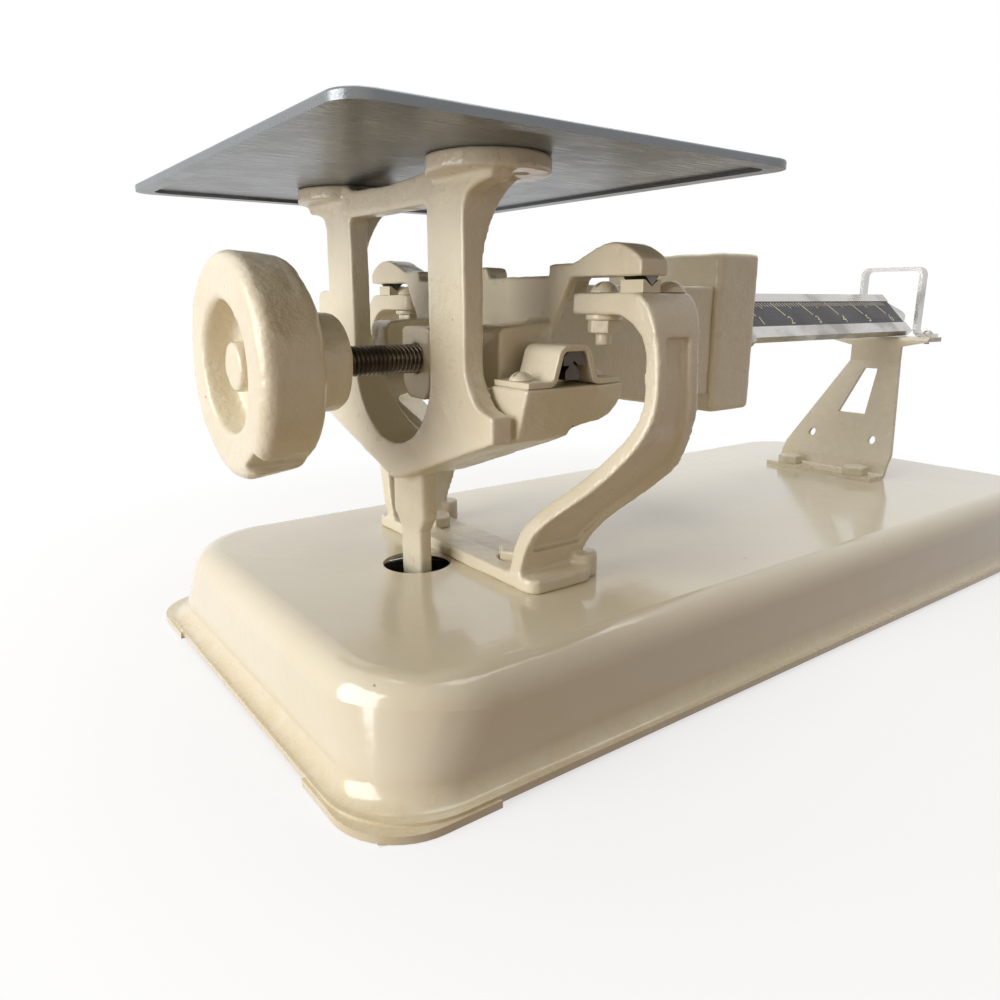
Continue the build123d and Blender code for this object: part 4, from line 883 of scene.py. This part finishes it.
class SCALE_OT_fasteners(bpy.types.Operator):
    """Paints over the screws and washers, and dresses the bare nuts, pins, knives and bearings"""

    bl_idname = "baby_scale.fasteners"
    bl_label = "Fasteners"

    def execute(self, context):
        voxel = context.scene.scale_shape.screw_voxel
        for name, node, body in (
            ("PaintedBearingScrews", "bearing_screws", "base"),
            ("PaintedWashers", "bearing_washers", "base"),
            ("PaintedBearingNuts", "bearing_nuts", "base"),
            ("PaintedFootBolts", "foot_bolts", "base"),
            ("PaintedStandBolts", "beam_stand_bolts", "base"),
            ("PaintedStrapScrews", "strap_screws", "carrier"),
            ("PaintedLoadStraps", "load_straps", "carrier"),
            ("PaintedLidScrews", "lid_screws", "lever"),
        ):
            piece = softened(name, [node], voxel, SCREW_ROUNDING)
            show(piece, body, cast_enamel())
            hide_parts(node)
        for node in (
            "foot_nuts",
            "beam_stand_nuts",
            "anchor_pin",
            "stem_pin",
            "check_link",
            "loop_screws",
            "platter_screws",
        ):
            dress(node, plain_steel())
        # The knives and bearings take the very dark steel, whose darkness is painted shade for the
        # shadow under the strap arches
        for node in ("fulcrum_knives", "load_knives", "load_bearings"):
            dress(node, knife_steel())
        dress("fulcrum_bearings", cast_enamel())
        dress("check_bracket", sheet_enamel())
        dress("lead_filling", old_lead())
        dress("balance_washer", oiled_steel())
        return {"FINISHED"}


class SCALE_OT_pan(bpy.types.Operator):
    """Makes the pressed base pan"""

    bl_idname = "baby_scale.pan"
    bl_label = "Base pan"

    def execute(self, context):
        dress("base_pan", sheet_enamel())
        self.add_flare(context.scene.scale_shape)
        return {"FINISHED"}

    def add_flare(self, shape):
        """The concave curve between the pan's wall and its rim, all round."""
        # In millimetres: the wall at its foot, and how its sides and corners draw in as it rises
        foot_z, half_x, half_y, foot_radius = 2.5, 227.5, 102.4, 24.0
        rise, draft, corner_growth = 33.8, 3.0, 19.0
        # The curve's section: a quarter of an ellipse, backed by a strip inside the wall
        rim_z, height, width = 3.45, shape.flare_height / MM, 4.9
        inside, below, overlap = 1.2, 0.5, 0.05
        curve_steps, corner_steps = 9, 24
        section = [(-inside, rim_z - below), (-inside, rim_z + height)]
        for k in range(curve_steps + 1):
            angle = 0.5 * math.pi * k / curve_steps
            out = width - (width + overlap) * math.cos(angle)
            section.append((out, rim_z + height * (1.0 - math.sin(angle))))
        rings = []
        for out, z in section:
            share = (z - foot_z) / rise
            inset, radius = draft * share, foot_radius + corner_growth * share
            reach = radius + out
            ring = []
            for corner, (side_x, side_y) in enumerate(((1, 1), (-1, 1), (-1, -1), (1, -1))):
                centre_x = side_x * (half_x - inset - radius)
                centre_y = side_y * (half_y - inset - radius)
                for k in range(corner_steps + 1):
                    angle = 0.5 * math.pi * (corner + k / corner_steps)
                    x = centre_x + reach * math.cos(angle)
                    y = centre_y + reach * math.sin(angle)
                    ring.append(mm(x, y, z))
            rings.append(ring)
        flare = lofted("PanFlare", rings, True)
        show(flare, "base", sheet_enamel())
        set_smooth(flare.data)


class SCALE_OT_platform(bpy.types.Operator):
    """Makes the sheet platform"""

    bl_idname = "baby_scale.platform"
    bl_label = "Platform"

    def execute(self, context):
        dress("platter", platform_sheet())
        return {"FINISHED"}


class SCALE_OT_rod(bpy.types.Operator):
    """Makes the threaded balance rod"""

    bl_idname = "baby_scale.rod"
    bl_label = "Balance rod"

    def execute(self, context):
        shape = context.scene.scale_shape
        low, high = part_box("balance_rod")
        # Points round the rod, and rings in one pitch of its thread
        around, per_turn = 40, 8
        # The thread's section over half a turn: a flat crest and a straight flank
        crest_start, flank = 1.35, 1.6
        run_out = 0.6 * shape.thread_pitch
        middle_z = 0.5 * (low.z + high.z)
        full = 0.5 * (high.z - low.z)
        steps = int((high.x - low.x) / shape.thread_pitch * per_turn)
        rings = []
        for i in range(steps + 1):
            x = low.x + (high.x - low.x) * i / steps
            end = min(1.0, min(x - low.x, high.x - x) / run_out)
            ring = []
            for j in range(around):
                phase = (x / shape.thread_pitch - j / around) % 1.0
                crest = min(1.0, max(0.0, crest_start - flank * abs(2.0 * phase - 1.0)))
                radius = full - shape.thread_depth * (1.0 - crest * end)
                angle = math.tau * j / around
                z = middle_z + radius * math.sin(angle)
                ring.append(Vector((x, radius * math.cos(angle), z)))
            rings.append(ring)
        rod = lofted("ThreadedRod", rings, False)
        show(rod, "lever", oiled_steel())
        set_smooth(rod.data)
        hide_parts("balance_rod")
        return {"FINISHED"}


class SCALE_OT_beam(bpy.types.Operator):
    """Makes the graduated beam, its band and its poises"""

    bl_idname = "baby_scale.beam"
    bl_label = "Graduated beam"

    def execute(self, context):
        dress("graduated_beam", nickel_plate())
        dress("scale_plate", band_black())
        dress("main_poise", nickel_plate())
        dress("small_poise", nickel_plate())
        self.add_marks(context)
        return {"FINISHED"}

    def add_marks(self, context):
        """Raised white marks and numbers on the black band."""
        # Millimetres off the beam to the foot and the face of a mark, and along it to the numbers
        face, proud, first, step, last = 1.85, 1.97, 28.0, 26.7, 200.0
        # Millimetres up the slope to the head of every mark, and from the head back to its number
        top, lean = 9.2, 4.5
        major_run, major_foot, major_width = 5.7, -0.6, 0.85
        digit_shift, digit_foot = 3.6, -6.6
        # The small marks: parts between two numbers, drops, run for a drop of one, and width
        minors, half_drop, minor_drop, minor_slant, minor_width = 10, 4.6, 3.0, 0.58, 0.5
        sides = ((3, 2, 1, 0), (4, 5, 6, 7), (0, 1, 5, 4), (1, 2, 6, 5), (2, 3, 7, 6), (3, 0, 4, 7))
        vertices, faces = [], []

        def stroke(x0, up0, x1, up1, width):
            """A straight mark between two places on the band."""
            along = Vector((x1 - x0, up1 - up0)).normalized() * 0.5 * width
            corners = [
                (x0 - along.y, up0 + along.x),
                (x1 - along.y, up1 + along.x),
                (x1 + along.y, up1 - along.x),
                (x0 + along.y, up0 - along.x),
            ]
            start = len(vertices)
            for off in (face, proud):
                vertices.extend(beam_point(x, up, off) for x, up in corners)
            faces.extend(tuple(start + k for k in side) for side in sides)

        number = 0
        bm = bmesh.new()
        while first + step * number < last:
            x = first + step * number
            stroke(x - lean, top, x - lean + major_run, major_foot, major_width)
            for minor in range(1, minors):
                place = x + step * minor / minors
                if place < last:
                    drop = half_drop if 2 * minor == minors else minor_drop
                    start = place - lean
                    stroke(start, top, start + minor_slant * drop, top - drop, minor_width)
            place = beam_point(x + digit_shift, digit_foot, face)
            digit = self.digit(context, str(number), place)
            bm.from_mesh(digit)
            bpy.data.meshes.remove(digit)
            number += 1
        marks = new_piece("ScaleMarks", vertices, faces)
        bm.from_mesh(marks.data)
        bm.to_mesh(marks.data)
        bm.free()
        show(marks, "lever", marks_enamel())

    def digit(self, context, text, place):
        """The mesh of one number, laid on the beam's face."""
        curve = bpy.data.curves.new("Number", "FONT")
        curve.body = text
        curve.size = context.scene.scale_shape.numeral_size
        curve.extrude = 0.06 * MM
        curve.align_x = "CENTER"
        holder = bpy.data.objects.new("Number", curve)
        context.scene.collection.objects.link(holder)
        graph = context.evaluated_depsgraph_get()
        graph.update()
        mesh = bpy.data.meshes.new_from_object(holder.evaluated_get(graph))
        bpy.data.objects.remove(holder)
        bpy.data.curves.remove(curve)
        turn = Matrix(((1.0, 0.0, 0.0), (0.0, SLOPE, -SLOPE), (0.0, SLOPE, SLOPE))).to_4x4()
        mesh.transform(Matrix.Translation(place) @ turn)
        return mesh


class SCALE_OT_beam_stand(bpy.types.Operator):
    """Makes the bent sheet stand and the trig loop"""

    bl_idname = "baby_scale.beam_stand"
    bl_label = "Beam stand"

    def execute(self, context):
        dress("beam_stand", plate_enamel())
        dress("trig_loop", nickel_plate())
        return {"FINISHED"}


STEPS = (
    SCALE_OT_stage,
    SCALE_OT_pan,
    SCALE_OT_castings,
    SCALE_OT_balance_weight,
    SCALE_OT_fasteners,
    SCALE_OT_platform,
    SCALE_OT_rod,
    SCALE_OT_beam,
    SCALE_OT_beam_stand,
)


class SCALE_PT_panel(bpy.types.Panel):
    """Lists the pieces of the scale in the sidebar"""

    bl_idname = "SCALE_PT_panel"
    bl_label = "Baby Scale"
    bl_space_type = "VIEW_3D"
    bl_region_type = "UI"
    bl_category = "Baby Scale"

    def draw(self, context):
        layout = self.layout
        for group in (context.scene.scale_finish, context.scene.scale_shape):
            for key in group.__annotations__:
                layout.prop(group, key)
        for step in STEPS:
            layout.operator(step.bl_idname)


CLASSES = (ScaleFinish, ScaleShape, *STEPS, SCALE_PT_panel)


def register():
    for cls in CLASSES:
        bpy.utils.register_class(cls)
    bpy.types.Scene.scale_finish = bpy.props.PointerProperty(type=ScaleFinish)
    bpy.types.Scene.scale_shape = bpy.props.PointerProperty(type=ScaleShape)


def unregister():
    del bpy.types.Scene.scale_shape
    del bpy.types.Scene.scale_finish
    for cls in reversed(CLASSES):
        bpy.utils.unregister_class(cls)


def main():
    """Registers the add-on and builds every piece."""
    register()
    for step in STEPS:
        group, name = step.bl_idname.split(".")
        getattr(getattr(bpy.ops, group), name)()


if __name__ == "__main__":
    main()
